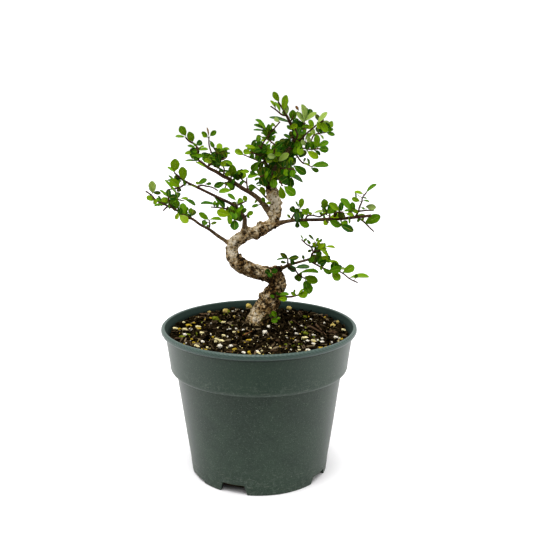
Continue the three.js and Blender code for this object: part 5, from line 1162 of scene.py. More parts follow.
# %% Crown
CROWN = {
    "name": "crown",
    "depth": (18, 10),
    "collar": 3.3,
    "stem": [
        (10, 248, 4.1), (11.5, 255, 3.4), (16, 262, 2.9), (21, 268, 2.6), (25, 274, 2.3), (29, 280, 1.8),
        (29.7, 287, 1.4), (28.3, 291, 1.2), (25.8, 296, 1.1), (23.8, 300, 0.9), (21, 305, 0.7),
        (16, 312.6, 0.5),
    ],
    "twigs": [
        ([(22.7, 301.5), (19, 302.4), (15, 305.6), (9.7, 309.2)], 12),
        ([(29, 280), (35, 281.8), (38.2, 285.8), (45.5, 292), (48.1, 294.3), (52.7, 297.3)], -20),
        ([(37.7, 285.2), (37.8, 291.5), (37.2, 295.5), (38.5, 299)], 18),
        ([(35.4, 282.2), (33, 289.5), (33.2, 295)], 10),
        ([(29, 280), (36, 279.5), (42.4, 280.2), (46, 285.8), (54.8, 287.9)], 24),
        ([(25.5, 274.7), (33.2, 275), (38.3, 274.8), (43.5, 274), (49.8, 274.5)], -26),
        ([(25.5, 274.5), (31, 269.3), (36.3, 263), (40, 261.5), (44.4, 259.4)], 26),
        ([(11.5, 256), (5, 264), (3, 268), (2, 275.5), (4.6, 281), (10.8, 288.9), (17.5, 296.6)], -24),
        ([(3.3, 268), (-1.5, 270), (-6.7, 271.3)], -8),
        ([(10.8, 257.5), (5, 262), (-1.7, 265), (-6.2, 266.8), (-13, 269.6)], 26),
        ([(11, 253), (6, 252.6), (1.5, 251.5)], -22),
        ([(12, 256), (16.5, 249), (19.5, 244)], -16),
        ([(14, 259), (22, 258), (29, 257.6)], -24),
        ([(12.5, 256.8), (20, 253), (27, 249.5)], 26),
        ([(16, 262), (12.5, 268), (13, 274)], -16),
        ([(21, 268), (19.5, 275), (19, 281)], 20),
        ([(25.8, 296), (28, 300)], -8),
        ([(29.5, 285), (25.8, 283.2)], -8),
        ([(2, 275.5), (-1.5, 277.5), (-4.4, 278.6)], 8),
        ([(5, 264), (1.5, 263.5)], -8),
        ([(21, 268), (14, 277), (6, 283)], 30),
        ([(29, 280), (32, 285), (30, 291)], -24),
    ],
    "leaves": [
        (16.5, 313, 12.3, 320, 4.2, FRONT, OLIVE_LEAF), (20.5, 306, 22.4, 317, 4.8, FRONT, OLIVE_LEAF),
        (23, 302.6, 23.3, 309.4, 3, FRONT, PALE), (13.8, 307.6, 9.9, 313.2, 2),
        (17.5, 304.6, 13.7, 312, 2.2), (25.6, 296, 10.4, 300, 2.2, BEHIND, DARK),
        (37.2, 296, 31.3, 303.6, 3.4, FRONT, PALE), (37.8, 297, 35.8, 309.3, 4, FRONT, PALE),
        (38.7, 297.5, 46.6, 303.4, 3.2, FRONT, PALE), (38.5, 299, 43, 306, 5, BEHIND, DARK),
        (38, 299, 39.5, 307, 3, BEHIND, DARK), (32.8, 306, 30.5, 309.2, 2, EITHER, TAN),
        (27.8, 290, 23.6, 293.2, 2.8), (48.6, 296, 55.6, 303.4, 3.3, FRONT, PALE),
        (57, 294.5, 61.3, 294.8, 4.5), (55, 289.5, 61, 290.5, 3), (56.3, 287.9, 62.3, 286, 3),
        (40, 291, 44.5, 294, 3.5), (48.7, 276, 48, 285.3, 4.5), (49.2, 276, 57, 280, 4),
        (49.7, 274.5, 57.2, 273.8, 4.8), (46.6, 273.3, 50.8, 269.6, 2.2, BEHIND, DARK),
        (40.4, 272.5, 48.7, 267.3, 4.8, FRONT, BRIGHT), (27.6, 282.6, 21.2, 285.7, 2.2),
        (44.4, 260, 57, 261.2, 4.5), (43.8, 258.4, 49.5, 256, 3.5), (42, 260.5, 40.5, 266, 1.8),
        (37.3, 263, 41.5, 261, 1.5), (16.3, 264.2, 24, 270, 4.4, FRONT, PALE),
        (15.8, 263.7, 8.6, 268.8, 4, FRONT, OLIVE_LEAF), (19.3, 262.6, 30.3, 255, 3),
        (29.2, 260.5, 38.5, 254.3, 5.5), (10, 249, 19, 257.5, 4, FRONT, BRIGHT),
        (23.5, 253, 35.8, 247.8, 3.5, BEHIND, DARK), (25.5, 254.5, 34, 249.7, 2),
        (5.5, 291.3, -1.9, 297.8, 2.2), (4.6, 290.4, -3.2, 294, 2), (4, 289.2, -3.8, 290, 1.4),
        (7.5, 289, 8.2, 294.2, 2), (8.6, 289.5, 11.3, 294.4, 1.8), (9.2, 287.6, 14.4, 288, 1.3),
        (9.8, 285.6, 12.4, 281.3, 2.6, FRONT, DARK), (8.3, 284.6, 4.4, 283.2, 1.6),
        (7, 282.7, 2.3, 281.2, 2), (6, 291.5, 9.3, 293.6, 2), (5.6, 287, 2.2, 287.5, 1.5),
        (10.8, 287.2, 15, 287.2, 1.2), (2.6, 284.2, -1.6, 284.8, 1.8), (-2.2, 275, -10.5, 276.7, 2.5),
        (0.5, 264, -5.5, 257, 5.5), (0, 253, -8.7, 251.2, 3.5), (1.6, 250.2, -3.4, 248.5, 2),
        (1, 246.8, -2.3, 245, 1.5), (17.8, 243.2, 20.3, 233.6, 5), (21.3, 243, 29.8, 236.5, 6.5),
        (12.2, 249.4, 12.6, 242.6, 5.8, FRONT, MIDDLE), (23, 302, 19.5, 304.6, 2.2),
        (38.5, 282, 43.5, 287, 3), (50.8, 286, 53.5, 282.8, 1.5), (3, 266, -3.2, 267, 2.5),
        (5.5, 290.5, 0.5, 295.8, 3), (25, 279.6, 18, 281.6, 3, BEHIND, DARK),
    ],
    "spots": [
        (28, 301.6, 5.5, 7.5, EITHER, MIDDLE), (32, 295, 6, 8, BEHIND, DARK),
        (49, 299.5, 3, 6, BEHIND, DARK), (55.3, 296, 3.5, 5, EITHER, PALE), (53.7, 292.7, 4.5, 9),
        (43.7, 295.3, 3.5, 6), (45, 287.8, 4, 6, EITHER, PALE), (45.5, 279.6, 2, 4),
        (41, 280.8, 3, 7, FRONT, PALE), (37.2, 279.2, 3, 5, FRONT, PALE),
        (33.2, 272.5, 5, 6, BEHIND, DARK), (28.4, 271, 4.5, 6, BEHIND, DARK),
        (36.2, 270, 4.5, 7, BEHIND, DARK), (38, 265, 1.8, 4), (30, 287, 5, 8), (33, 285.5, 4, 6),
        (25.6, 282.7, 2, 4), (18.9, 278.4, 5, 6, BEHIND, DARK), (13.2, 276.8, 3, 7),
        (12.6, 272.4, 6, 8, BEHIND, DARK), (11, 268.3, 4, 6, FRONT, PALE), (26, 265.2, 7, 9, BEHIND, DARK),
        (14, 259.4, 3.5, 5), (9.7, 291, 3, 4), (12.3, 294, 2, 4), (5.7, 286, 2, 4), (4.6, 283.4, 2, 4),
        (7.4, 279.8, 1.5, 4), (-0.7, 281.7, 3.8, 5), (15, 298, 3, 5, EITHER, PALE), (-16, 271.3, 4.5, 7.5),
        (-9.5, 271.8, 4, 6), (-5.6, 269, 3.5, 5), (-4.4, 279, 2.5, 4), (3.3, 254, 8, 9, BEHIND, DARK),
        (2.2, 248.5, 5, 7, BEHIND, DARK), (20, 248, 6, 8, BEHIND, DARK), (26.8, 246.7, 5.5, 8),
        (7.6, 252, 6, 7, BEHIND, DARK), (35.3, 294, 3.5, 6, BEHIND, DARK), (36, 287.5, 3, 5),
        (49.8, 294, 4, 6), (49, 289.8, 3.5, 5, BEHIND, DARK), (57.5, 291.5, 4, 6),
        (52, 296.5, 4, 5, BEHIND, DARK), (43.7, 276.8, 3, 5, BEHIND, DARK),
        (46.3, 275.4, 3, 5, BEHIND, DARK), (32.7, 278.5, 4.5, 5.5, BEHIND, DARK),
        (30.5, 274.5, 6, 7, BEHIND, DARK), (34.5, 273.5, 5, 7), (24.5, 280.5, 5, 7, BEHIND, DARK),
        (26.5, 277, 5, 6, FRONT, DARK), (22.5, 277, 4, 6, FRONT, DARK), (21.8, 281.3, 3, 5, BEHIND, DARK),
        (16.3, 279.5, 3, 5), (17.5, 274.5, 5, 6, BEHIND, DARK), (21.3, 272.8, 5, 6, FRONT, DARK),
        (24.3, 272.5, 4.5, 6, FRONT, DARK), (7.5, 276, 4, 6), (8.5, 271.5, 5, 6, BEHIND, DARK),
        (-3.5, 276.3, 4, 6), (0.5, 277.5, 4, 6), (-1.5, 273.8, 4.5, 7), (1.8, 272, 4, 6, BEHIND, DARK),
        (3.5, 277, 3.5, 6, FRONT), (-6.5, 271.5, 3, 5, BEHIND, DARK), (5.5, 270.5, 5, 7),
        (3, 267.3, 4, 6, BEHIND), (7.5, 267.3, 4, 5, FRONT), (1.8, 261.5, 4, 6, BEHIND),
        (5.8, 264.3, 3.5, 5), (8.3, 264.6, 4, 5, FRONT, BRIGHT), (13.5, 269.5, 3.5, 5),
        (21.8, 263, 4.5, 6, FRONT, DARK), (20.5, 256, 4.5, 6, BEHIND, DARK), (23, 255.5, 4, 6),
        (8.7, 255.3, 4.5, 6, BEHIND), (-4.8, 254.2, 3, 5), (4.6, 247, 4, 7, BEHIND, DARK),
        (23.6, 248, 4.5, 7, BEHIND, DARK), (17.3, 251.5, 4.5, 6, FRONT, DARK),
        (14.5, 250, 4, 6, BEHIND, DARK), (7.3, 290, 2.5, 5), (9.3, 286.2, 2.5, 6, BEHIND, DARK),
        (8.2, 283.5, 2.5, 5, BEHIND, DARK), (11.8, 283.2, 2.5, 5), (4.7, 288.3, 2.2, 5),
        (27.5, 285.5, 4, 6, FRONT, DARK), (12.5, 257.5, 5, 6, FRONT, DARK),
        (17, 261.5, 4.5, 6, FRONT, DARK), (20.5, 267, 4.5, 6, FRONT), (10.5, 262, 4, 6, FRONT, DARK),
        (28.5, 292.5, 4, 6, FRONT), (9.6, 251, 3.6, 5, FRONT), (31.5, 282.5, 4, 6, FRONT),
    ],
    "filling": [
        (30, 274.5, 7, 5.5, 12), (20, 275, 6, 3, 8), (24, 264.5, 5, 4.5, 8), (12, 269, 6, 5, 9),
        (3, 270.5, 5, 4.5, 8), (9.5, 257, 7.5, 5, 12), (22.5, 254, 7, 4.5, 9), (6, 249.5, 4.5, 3, 5),
        (33.5, 290, 5.5, 8, 12), (54, 292.3, 4.5, 3.5, 6), (43, 277, 4, 2, 3), (8.5, 286, 2.5, 2.5, 2),
        (14, 260, 5, 7, 10), (22, 270, 5, 5, 8), (-4, 276, 4, 2.5, 4),
    ],
}

# %% Small shoots on the trunk
LOW_SPRIG = {
    "name": "sprig_low",
    # painted shade: this part's leaves are made darker by this amount
    "painted_darkening": 0.13,
    "depth": (19, 12),
    "collar": 10,
    "stem": [
        (9, 146.5, 0.95), (20, 147.2, 0.75), (24.4, 147.1, 0.7), (28.5, 147.4, 0.65), (34, 148.8, 0.5),
    ],
    "twigs": [
        ([(20.5, 147.4), (16.5, 147), (13, 147.6)], -4),
    ],
    "leaves": [
        (32, 148.6, 27.8, 150.8, 2.6, FRONT, BRIGHT), (30, 150, 30.8, 153.4, 1.8, FRONT, BRIGHT),
        (33.2, 148.6, 41.2, 149.4, 5.4, FRONT, BRIGHT), (34.2, 150.2, 38.2, 153.8, 1.6, FRONT, BRIGHT),
        (17.3, 148.8, 25, 149.4, 2.8, FRONT), (17, 145.6, 23.7, 145, 3.8, FRONT, BRIGHT),
        (14, 147.2, 9.8, 147.9, 2.4, FRONT), (18, 148.6, 14.8, 151, 2, FRONT, DARK),
    ],
    "spots": [],
}

KNEE_SPROUT = {
    "name": "sprout_knee",
    # painted shade: this part's leaves are made darker by this amount
    "painted_darkening": 0.06,
    "depth": (22, 10),
    "collar": 8.6,
    "stem": [
        (11, 164.5, 0.8), (10.4, 168.4, 0.5),
    ],
    "twigs": [],
    "leaves": [
        (9.4, 168.2, 5.6, 170.6, 4.2, FRONT, DARK), (7.5, 168.5, 10.5, 165.5, 3.6, FRONT),
        (10.6, 169.5, 15, 170.6, 3.6, FRONT, DARK),
    ],
    "spots": [],
}

BASE_SUCKER = {
    "name": "sucker_base",
    "depth": (22, 4),
    "collar": 11.5,
    "stem": [
        (6, 127, 0.8), (11.5, 129.5, 0.55), (12.6, 131, 0.45),
    ],
    "twigs": [],
    "leaves": [
        (14.8, 129.2, 11.6, 133.8, 3.5, FRONT, MIDDLE), (16.2, 126.2, 11.2, 125.5, 3.8, FRONT, MIDDLE),
        (15.4, 128.3, 17.8, 127.7, 1.8, FRONT), (12.3, 129.5, 8.8, 131, 2.3, BEHIND, DARK),
    ],
    "spots": [],
}

PARTS = [KNEE_SPROUT, LOW_SPRIG, BASE_SUCKER, LEFT_LOW, LEFT_MID, RIGHT_MID, RIGHT_LOW, LEFT_HIGH, CROWN]

# %% [markdown]
# Behind and between the leaves that can be told apart lie others, of which only scraps show. They make
# a spray dense from every side. Each patch of them is an oval, with its middle, its two reaches and
# how crowded it is, and its leaves are spread over it in a spiral.

# %% Inner leaves
CROWDING = 1.5
INNER_SIZES = (5.2, 7.2)
INNER_SLIMNESS = (0.3, 0.64)
# painted shade: two of every three inner leaves get the dark tone
INNER_WORDS = [(EITHER, MIDDLE), (BEHIND, DARK), (FRONT, DARK)]


def inner_leaves(patch):
    x, z, reach_x, reach_z, count = patch
    count = round(count * CROWDING)
    for i in range(count):
        spread = math.sqrt((i + 0.5) / count)
        place_x = x + reach_x * spread * math.cos(i * SUNFLOWER_TURN + x)
        place_z = z + reach_z * spread * math.sin(i * SUNFLOWER_TURN + x)
        size = from_range(INNER_SIZES, chance(place_x, place_z))
        slim = from_range(INNER_SLIMNESS, chance(place_z, place_x))
        yield (place_x, place_z, size * slim, size, *INNER_WORDS[i % len(INNER_WORDS)])


for part in PARTS:
    for patch in part.get("filling", []):
        part["spots"].extend(inner_leaves(patch))
print(sum(len(p["leaves"]) + len(p["spots"]) for p in PARTS), "leaves in", len(PARTS), "parts")

# %% [markdown]
# A twig starts at the depth of the wood that it grows from. The nearest place on the courses made so
# far gives it.

# %% Courses of the stems and twigs
TWIG_RADIUS = (0.85, 0.58)
STEM_SWELL = 1.15
STEM_SKIN = 0.16


def stem_course(part):
    first, last = part["depth"]
    spread = len(part["stem"]) - 1
    depths = [first + (last - first) * i / spread for i in range(spread + 1)]
    return [Stop(x, z, y, r * STEM_SWELL + STEM_SKIN) for y, (x, z, r) in zip(depths, part["stem"])]


def stop_between(a, b, share):
    return Stop(*(p + (q - p) * share for p, q in zip(a, b)))


def nearest_on(courses, x, z):
    """The nearest place of the courses in the picture, and how far off it is."""
    best = None
    for course in courses:
        for a, b in zip(course, course[1:]):
            run = Vector((b.x - a.x, b.z - a.z))
            share = min(max(Vector((x - a.x, z - a.z)).dot(run) / run.length_squared, 0), 1)
            spot = stop_between(a, b, share)
            distance = math.hypot(x - spot.x, z - spot.z)
            if best is None or distance < best[1]:
                best = (spot, distance)
    return best


def twig_course(way, reach, courses):
    start = nearest_on(courses, *way[0])[0].depth
    stops = []
    for i, (x, z) in enumerate(way):
        share = i / (len(way) - 1)
        stops.append(Stop(x, z, start + reach * share, from_range(TWIG_RADIUS, share)))
    return stops


def stretch_of(course, start, end):
    """The part of a course between two distances from its foot, in millimetres."""
    kept = []
    walked = 0
    for a, b in zip(course, course[1:]):
        step = (at(b.x, b.z, b.depth) - at(a.x, a.z, a.depth)).length / MM
        for distance in (start, end):
            if walked <= distance < walked + step:
                share = (distance - walked) / step
                kept.append(stop_between(a, b, share))
        walked += step
        if start < walked < end:
            kept.append(b)
    return kept


for part in PARTS:
    part["courses"] = [stem_course(part)]
    for way, reach in part["twigs"]:
        part["courses"].append(twig_course(way, reach, part["courses"]))
print("courses:", {part["name"]: len(part["courses"]) for part in PARTS})

# %% [markdown]
# The trunk is a tube with knobs and the feet of the branches. A voxel remesh melts them into one
# skin, as bark grows over a joint. Three Displace modifiers then roughen it: big lumps, knots of a
# few millimetres, and the fine crackle of the bark.

# %% Trunk skin
COLLAR_SWELL = 0.3
KNOB_SHARE = 0.95
SKIN_VOXEL = 0.6
# Each row is a name, a kind of pattern, its grain, its depth in millimetres and its middle level.
BARK_RELIEF = [
    ("bark_lumps", "CLOUDS", 6, 2.4, 0.5),
    ("bark_knots", "CLOUDS", 2.2, 1.5, 0.5),
    ("bark_crackle", "VORONOI", 1.7, 0.8, 0.4),
]

trunk_courses = [[Stop(x, z, depth, radius) for x, z, radius, depth in TRUNK]]
for part in PARTS:
    if part is not CROWN:
        foot = stretch_of(part["courses"][0], 0, part["collar"])
        trunk_courses.append([stop._replace(radius=stop.radius + COLLAR_SWELL) for stop in foot])
skin = [limbs("trunk_tube", trunk_courses, 16, 6)]
for x, z, radius, depth in KNOBS:
    deselect()
    size = radius * KNOB_SHARE * MM
    bpy.ops.mesh.primitive_ico_sphere_add(subdivisions=3, radius=size, location=at(x, z, depth))
    bpy.ops.object.transform_apply(location=True)
    skin.append(bpy.context.object)
trunk = join(skin, "trunk_bark")
apply_modifier(trunk, "REMESH", mode="VOXEL", voxel_size=SKIN_VOXEL * MM)
apply_modifier(trunk, "SMOOTH", factor=0.6, iterations=4)
for name, kind, size, depth, middle in BARK_RELIEF:
    pattern = texture(name, kind, size * MM)
    apply_modifier(trunk, "DISPLACE", texture=pattern, strength=depth * MM, mid_level=middle)
smooth(trunk, 70)
report(trunk)

# %% [markdown]
# The bark is pale grey-beige where it is old, and brown between. The soft patches paint light and
# shade over that: lighter where light falls on the tops and the left side, and brown to nearly black,
# a painted shade, in the bends, under the knee and on the right of the base. The patches are kept as a
# number at every point of the mesh and steer the colour.

# %% Patches of bark colour, painted light and painted shade
# Each row is x, z, reach and how much lighter (or darker) the bark is there.
BARK_AND_PAINTED_LIGHT_PATCHES = [
    (-7, 123, 10, 0.14), (-2, 134, 8, 0.2), (10, 134, 8, -0.12), (11, 122, 8, -0.45),
    (9, 156, 7, -0.22), (20, 158, 6, 0.1), (14, 168, 7, -0.32), (3, 171, 7, 0.3), (-4, 164, 6, -0.25),
    (-9, 177, 6, 0.2), (-17, 172, 7, -0.06), (-24, 187, 6, 0.42), (-17, 183, 5, -0.25),
    (-19, 198, 6, 0.4), (-12, 196, 5, -0.3), (-5, 207, 6, 0.3), (2, 203, 7, -0.1), (9, 215, 6, 0.38),
    (12, 228, 9, 0.46), (16, 234, 6, 0.3), (5.5, 243, 5, -0.35), (14, 242, 5, 0.15),
    (13.5, 165, 3.5, -0.3), (17, 159, 3, -0.2),
]


def patch_value(place):
    value = 0.5
    for x, z, reach, change in BARK_AND_PAINTED_LIGHT_PATCHES:
        middle = at(x, z, PLANE)
        distance = math.hypot(place.x - middle.x, place.z - middle.z) / (reach * MM)
        value += change * math.exp(-distance * distance)
    return min(max(value, 0), 1)


shade = trunk.data.attributes.new("shade", "FLOAT", "POINT")
shade.data.foreach_set("value", [patch_value(point.co) for point in trunk.data.vertices])
print(len(BARK_AND_PAINTED_LIGHT_PATCHES), "patches over", len(trunk.data.vertices), "points")

# %% [markdown]
# Elm bark is mottled: pale grey plates with brown between them, dark gaps where plates part, and
# small pits. Cells that noise has shaken out of their regular form give the gaps and the pits, and a
# broad noise lets them come and go.

# %% Bark finish
def shaken(base, grain, reach):
    """The place, pushed about by noise of a grain size, by up to a reach in millimetres."""
    inputs = {"Vector": place_of(base), "Scale": 1 / (grain * MM), "Detail": 2}
    push = base.node("ShaderNodeTexNoise", {}, inputs, out=1)
    push = vector_maths("SUBTRACT", push, (0.5, 0.5, 0.5))
    push = vector_maths("SCALE", push, reach * MM * 4, "Scale")
    return vector_maths("ADD", place_of(base), push)


bark, bark_shader, base = new_finish("elm_bark", 0.85, 0.06)
shade = written(base, "shade")
height = part_of(place_of(base), 2)
broad = noise(base, 7, 2, 0.5)
mottle = noise(base, 2.8, 5, 0.72, distortion=0.5)
fine = noise(base, 0.9, 3, 0.6)
light = shade * 0.8 + (broad - 0.5) * 1.1 + (mottle - 0.5) * 1.9
tone = ramp(light, [
    (0.06, (0.045, 0.022, 0.006)),
    (0.24, (0.17, 0.095, 0.03)),
    (0.42, (0.37, 0.24, 0.105)),
    (0.62, (0.56, 0.43, 0.245)),
    (0.85, (0.77, 0.67, 0.51)),
])
gap = between(cells(base, 2.6, shaken(base, 2.5, 0.8)), 0.46, 0.58) * between(light, 0.34, 0.66, 1, 0.15)
gap = gap * between(noise(base, 5, 2), 0.34, 0.5)
pits = between(cells(base, 1.7, shaken(base, 1.6, 0.4)), 0.28, 0.42, 1, 0)
pits = pits * between(noise(base, 3, 2), 0.42, 0.52) * between(light, 0.55, 1, 1, 0.3)
tone = blend(gap * 0.92, tone, (0.006, 0.003, 0.001))
tone = blend(pits * 0.92, tone, (0.012, 0.006, 0.002))
algae = between(height, 0.12, 0.14, 1, 0) * between(noise(base, 4, 3), 0.5, 0.62)
tone = blend(algae * 0.6, tone, (0.14, 0.14, 0.025))
feed(tone, bark_shader, "Base Color")
feed(relief(mottle * 0.7 + fine * 0.4 - pits * 0.5 - gap * 0.6, 1.2), bark_shader, "Normal")
paint(trunk, bark)
print(bark.name, len(bark.node_tree.nodes), "nodes")

# %% [markdown]
# ## Leaves
# An elm leaf is a small oval with a toothed edge, folded a little along its rib and bent back at its
# tip. One flat grid is shaped row by row into such a leaf, then given a thickness. Six patterns, long
# and short ones with different bends, are enough: each of the seven hundred leaves is a copy that
# is turned and stretched into its place.

# %% Leaf patterns
# Each row is how far along the leaf it lies, and its share of the full width.
LONG_ROWS = [
    (0, 0.08), (0.12, 0.4), (0.3, 0.78), (0.5, 0.98), (0.68, 1), (0.84, 0.8), (0.95, 0.44), (1, 0.1),
]
SHORT_ROWS = [(0, 0.08), (0.2, 0.56), (0.48, 0.98), (0.75, 0.92), (0.93, 0.5), (1, 0.1)]
TOOTH = 0.03
BLADE_THICKNESS = 0.024


def leaf_pattern(name, rows, columns, fold, arch, curl):
    """A leaf one unit long and one wide, with its foot at the origin and its face up."""
    deselect()
    count = len(rows) - 1
    cuts = {"x_subdivisions": columns, "y_subdivisions": count}
    bpy.ops.mesh.primitive_grid_add(size=1, location=(0, 0.5, 0), **cuts)
    leaf = bpy.context.object
    bpy.ops.object.transform_apply(location=True)
    leaf.name = name
    for column in range(columns + 1):
        x = column / columns - 0.5
        pick(leaf, lambda place: abs(place.x - x) < 0.001)
        bpy.ops.transform.translate(value=(0, 0, fold * abs(x) ** 0.8))
        bpy.ops.object.mode_set(mode="OBJECT")
    row_of_point = [round(point.co.y * count) for point in leaf.data.vertices]
    for row, (y, share) in enumerate(rows):
        width = share * (1 + TOOTH * (-1) ** row)
        bend = arch * 4 * y * (1 - y) - curl * y * y
        pick_points(leaf, [i for i, at_row in enumerate(row_of_point) if at_row == row])
        bpy.ops.transform.resize(value=(width, 1, width), center_override=(0, 0, 0))
        bpy.ops.transform.translate(value=(0, y - row / count, bend))
        bpy.ops.object.mode_set(mode="OBJECT")
    apply_modifier(leaf, "SOLIDIFY", thickness=BLADE_THICKNESS, offset=0)
    smooth(leaf, 50)
    under = leaf.data.attributes.new("under", "FLOAT", "FACE")
    under.data.foreach_set("value", [1.0 if face.normal.z < 0 else 0.0 for face in leaf.data.polygons])
    leaf.data.attributes.new("tone", "FLOAT", "POINT")
    return leaf


LONG_LEAVES = [
    leaf_pattern("leaf_flat", LONG_ROWS, 4, 0.06, 0.02, 0.01),
    leaf_pattern("leaf_bent", LONG_ROWS, 4, 0.1, 0.05, 0.05),
    leaf_pattern("leaf_folded", LONG_ROWS, 4, 0.18, 0.03, 0.04),
]
SHORT_LEAVES = [
    leaf_pattern("leaflet_flat", SHORT_ROWS, 2, 0.06, 0.02, 0.0),
    leaf_pattern("leaflet_bent", SHORT_ROWS, 2, 0.12, 0.05, 0.05),
    leaf_pattern("leaflet_folded", SHORT_ROWS, 2, 0.22, 0.03, 0.03),
]
print("faces of a leaf:", [len(p.data.polygons) for p in LONG_LEAVES + SHORT_LEAVES])

# %% [markdown]
# In the picture a leaf has a length and a width. One that looks wide for its length points towards
# the eye or away from it, and one that looks slim is rolled about its rib. That gives its true
# length and turn without guessing each one.

# %% Where a leaf grows
# NEARER is how many millimetres a leaf in front comes forward, unless it is dark. DRIFT is the least and
# the most that a tip swings to the front or back, as a share of the leaf's length. STEP_OUT is how far a
# stalk leads to that side, as a share of its length in the picture.
BLADE_RATIO = 0.5
BROADEST = 0.64
MOST_ROLL = 1.35
MOST_STRETCH = 1.3
WIDER, LONGER = 1.15, 0.11
LONG_FROM = 5.2
NEARER = 4
DRIFT = (0.12, 0.42)
STEP_OUT = 0.5


def as_leaf(courses, spot):
    """A leaf known by its middle becomes one known by its foot and tip."""
    x, z, width, length, *words = spot
    anchor, _ = nearest_on(courses, x, z)
    away = Vector((x - anchor.x, z - anchor.z))
    if away.length < 0.5:
        away = Vector((chance(x, z) - 0.5, 0.4))
    away = away.normalized() * max(length, width) / 2
    return (x - away.x, z - away.y, x + away.x, z + away.y, width, *words)


def side_of(foot_x, foot_z, place):
    if place != EITHER:
        return -place
    return -1 if chance(foot_x, foot_z) < 0.5 else 1


def grow(courses, leaf):
    """The foot of the stalk, the foot and tip of the leaf, its width and its face, in metres."""
    foot_x, foot_z, tip_x, tip_z, seen_width, *words = leaf
    tip_x += (tip_x - foot_x) * LONGER
    tip_z += (tip_z - foot_z) * LONGER
    seen_width *= WIDER
    side = side_of(foot_x, foot_z, words[0] if words else EITHER)
    anchor, distance = nearest_on(courses, foot_x, foot_z)
    seen = math.hypot(tip_x - foot_x, tip_z - foot_z)
    true = min(max(seen_width / BROADEST, seen), seen * MOST_STRETCH)
    lean = math.sqrt(true**2 - seen**2)
    drift = seen * from_range(DRIFT, chance(tip_x, tip_z))
    near = NEARER if len(words) > 1 and words[0] == FRONT and words[1] != DARK else 0
    foot_depth = anchor.depth + side * (distance * STEP_OUT + near)
    foot = at(foot_x, foot_z, foot_depth)
    tip = at(tip_x, tip_z, foot_depth + side * max(lean, drift))
    width = max(seen_width, seen * BLADE_RATIO)
    roll = min(math.acos(min(seen_width / width, 1)), MOST_ROLL)
    along = (tip - foot).normalized()
    to_eye = EYE * MM - tip
    front = (to_eye - along * to_eye.dot(along)).normalized()
    turns = [Matrix.Rotation(angle, 3, along) @ front for angle in (roll, -roll)]
    face = max(turns, key=lambda way: way.z)
    return anchor, foot_depth, foot, tip, width * MM, face


def place_leaf(foot, tip, width, face, tone):
    length = (tip - foot).length
    patterns = LONG_LEAVES if length > LONG_FROM * MM else SHORT_LEAVES
    pattern = patterns[int(chance(foot.x / MM, tip.z / MM) * 3)]
    along = (tip - foot).normalized()
    across = along.cross(face).normalized()
    up = across.cross(along)
    turn = Matrix((across * width, along * length, up * length)).transposed().to_4x4()
    leaf = copy_of(pattern, Matrix.Translation(foot) @ turn)
    leaf.data.attributes["tone"].data.foreach_set("value", [tone] * len(leaf.data.vertices))
    return leaf


# %% [markdown]
# The tone of a leaf is one number that a colour ramp reads later: reddish shoots are lowest, then
# dark leaves, painted shade for leaves in shadow inside and behind the spray, fresh green, olive,
# yellow-green, painted light for leaves that the light falls on, pale ones, partly undersides and
# partly a painted sheen, and grey-green ones.

# %% Tones
LEAF_TONES_AND_PAINTED_LIGHT = {TAN: 0.02, DARK: 0.18, MIDDLE: 0.42, OLIVE_LEAF: 0.5, BRIGHT: 0.66, PALE: 0.84, GREY: 1.08}
TONE_SPREAD = 0.19


def tone_of(leaf, painted_darkening=0.0):
    words = leaf[5:]
    spread = TONE_SPREAD * (chance(leaf[2], leaf[1]) - 0.5)
    if len(words) > 1:
        named = LEAF_TONES_AND_PAINTED_LIGHT[words[1]] + (0 if words[1] == TAN else spread * 0.6)
        # painted shade: the middle and bright leaves of a low part are made darker
        return named - (painted_darkening if words[1] in (MIDDLE, BRIGHT) else 0)
    # painted shade: a leaf behind the others gets the dark tone
    if words and words[0] == BEHIND:
        return LEAF_TONES_AND_PAINTED_LIGHT[DARK] + spread * 0.6
    return LEAF_TONES_AND_PAINTED_LIGHT[MIDDLE] + spread * 2 - painted_darkening


def tag(piece, name, value_at):
    values = piece.data.attributes.new(name, "FLOAT", "POINT")
    values.data.foreach_set("value", [value_at(point.co) for point in piece.data.vertices])


# %% [markdown]
# Each part becomes two pieces. The wood is its stem, twigs and buds. The leaves are the blades with
# their short stalks. Old wood is told from young by a number too, which falls from the foot of the
# stem to its tip.

# %% Grow every part
BUD_RADIUS = 0.62
STALK_RADII = (0.34, 0.22)
OLD_WOOD_REACH = 75
# The least age of a stem, the age of twigs, and how deep a stem starts inside its collar.
STEM_AGE, TWIG_AGE = 0.25, 0.2
ROOTED = 2.5
SHORTEST_STALK = 0.4
STALK_TONE = 0.12

deselect()
bpy.ops.mesh.primitive_ico_sphere_add(subdivisions=1, radius=1)
bud_pattern = bpy.context.object
pick(bud_pattern, lambda place: place.z > 0.5)
bpy.ops.transform.translate(value=(0, 0, 0.7))
bpy.ops.object.mode_set(mode="OBJECT")
smooth(bud_pattern, 80)


def place_bud(spot, toward):
    turn = toward.to_track_quat("Z", "Y").to_matrix().to_4x4()
    bud = copy_of(bud_pattern, Matrix.Translation(spot) @ turn @ Matrix.Scale(BUD_RADIUS * MM, 4))
    tag(bud, "age", lambda place: 0.0)
    return bud


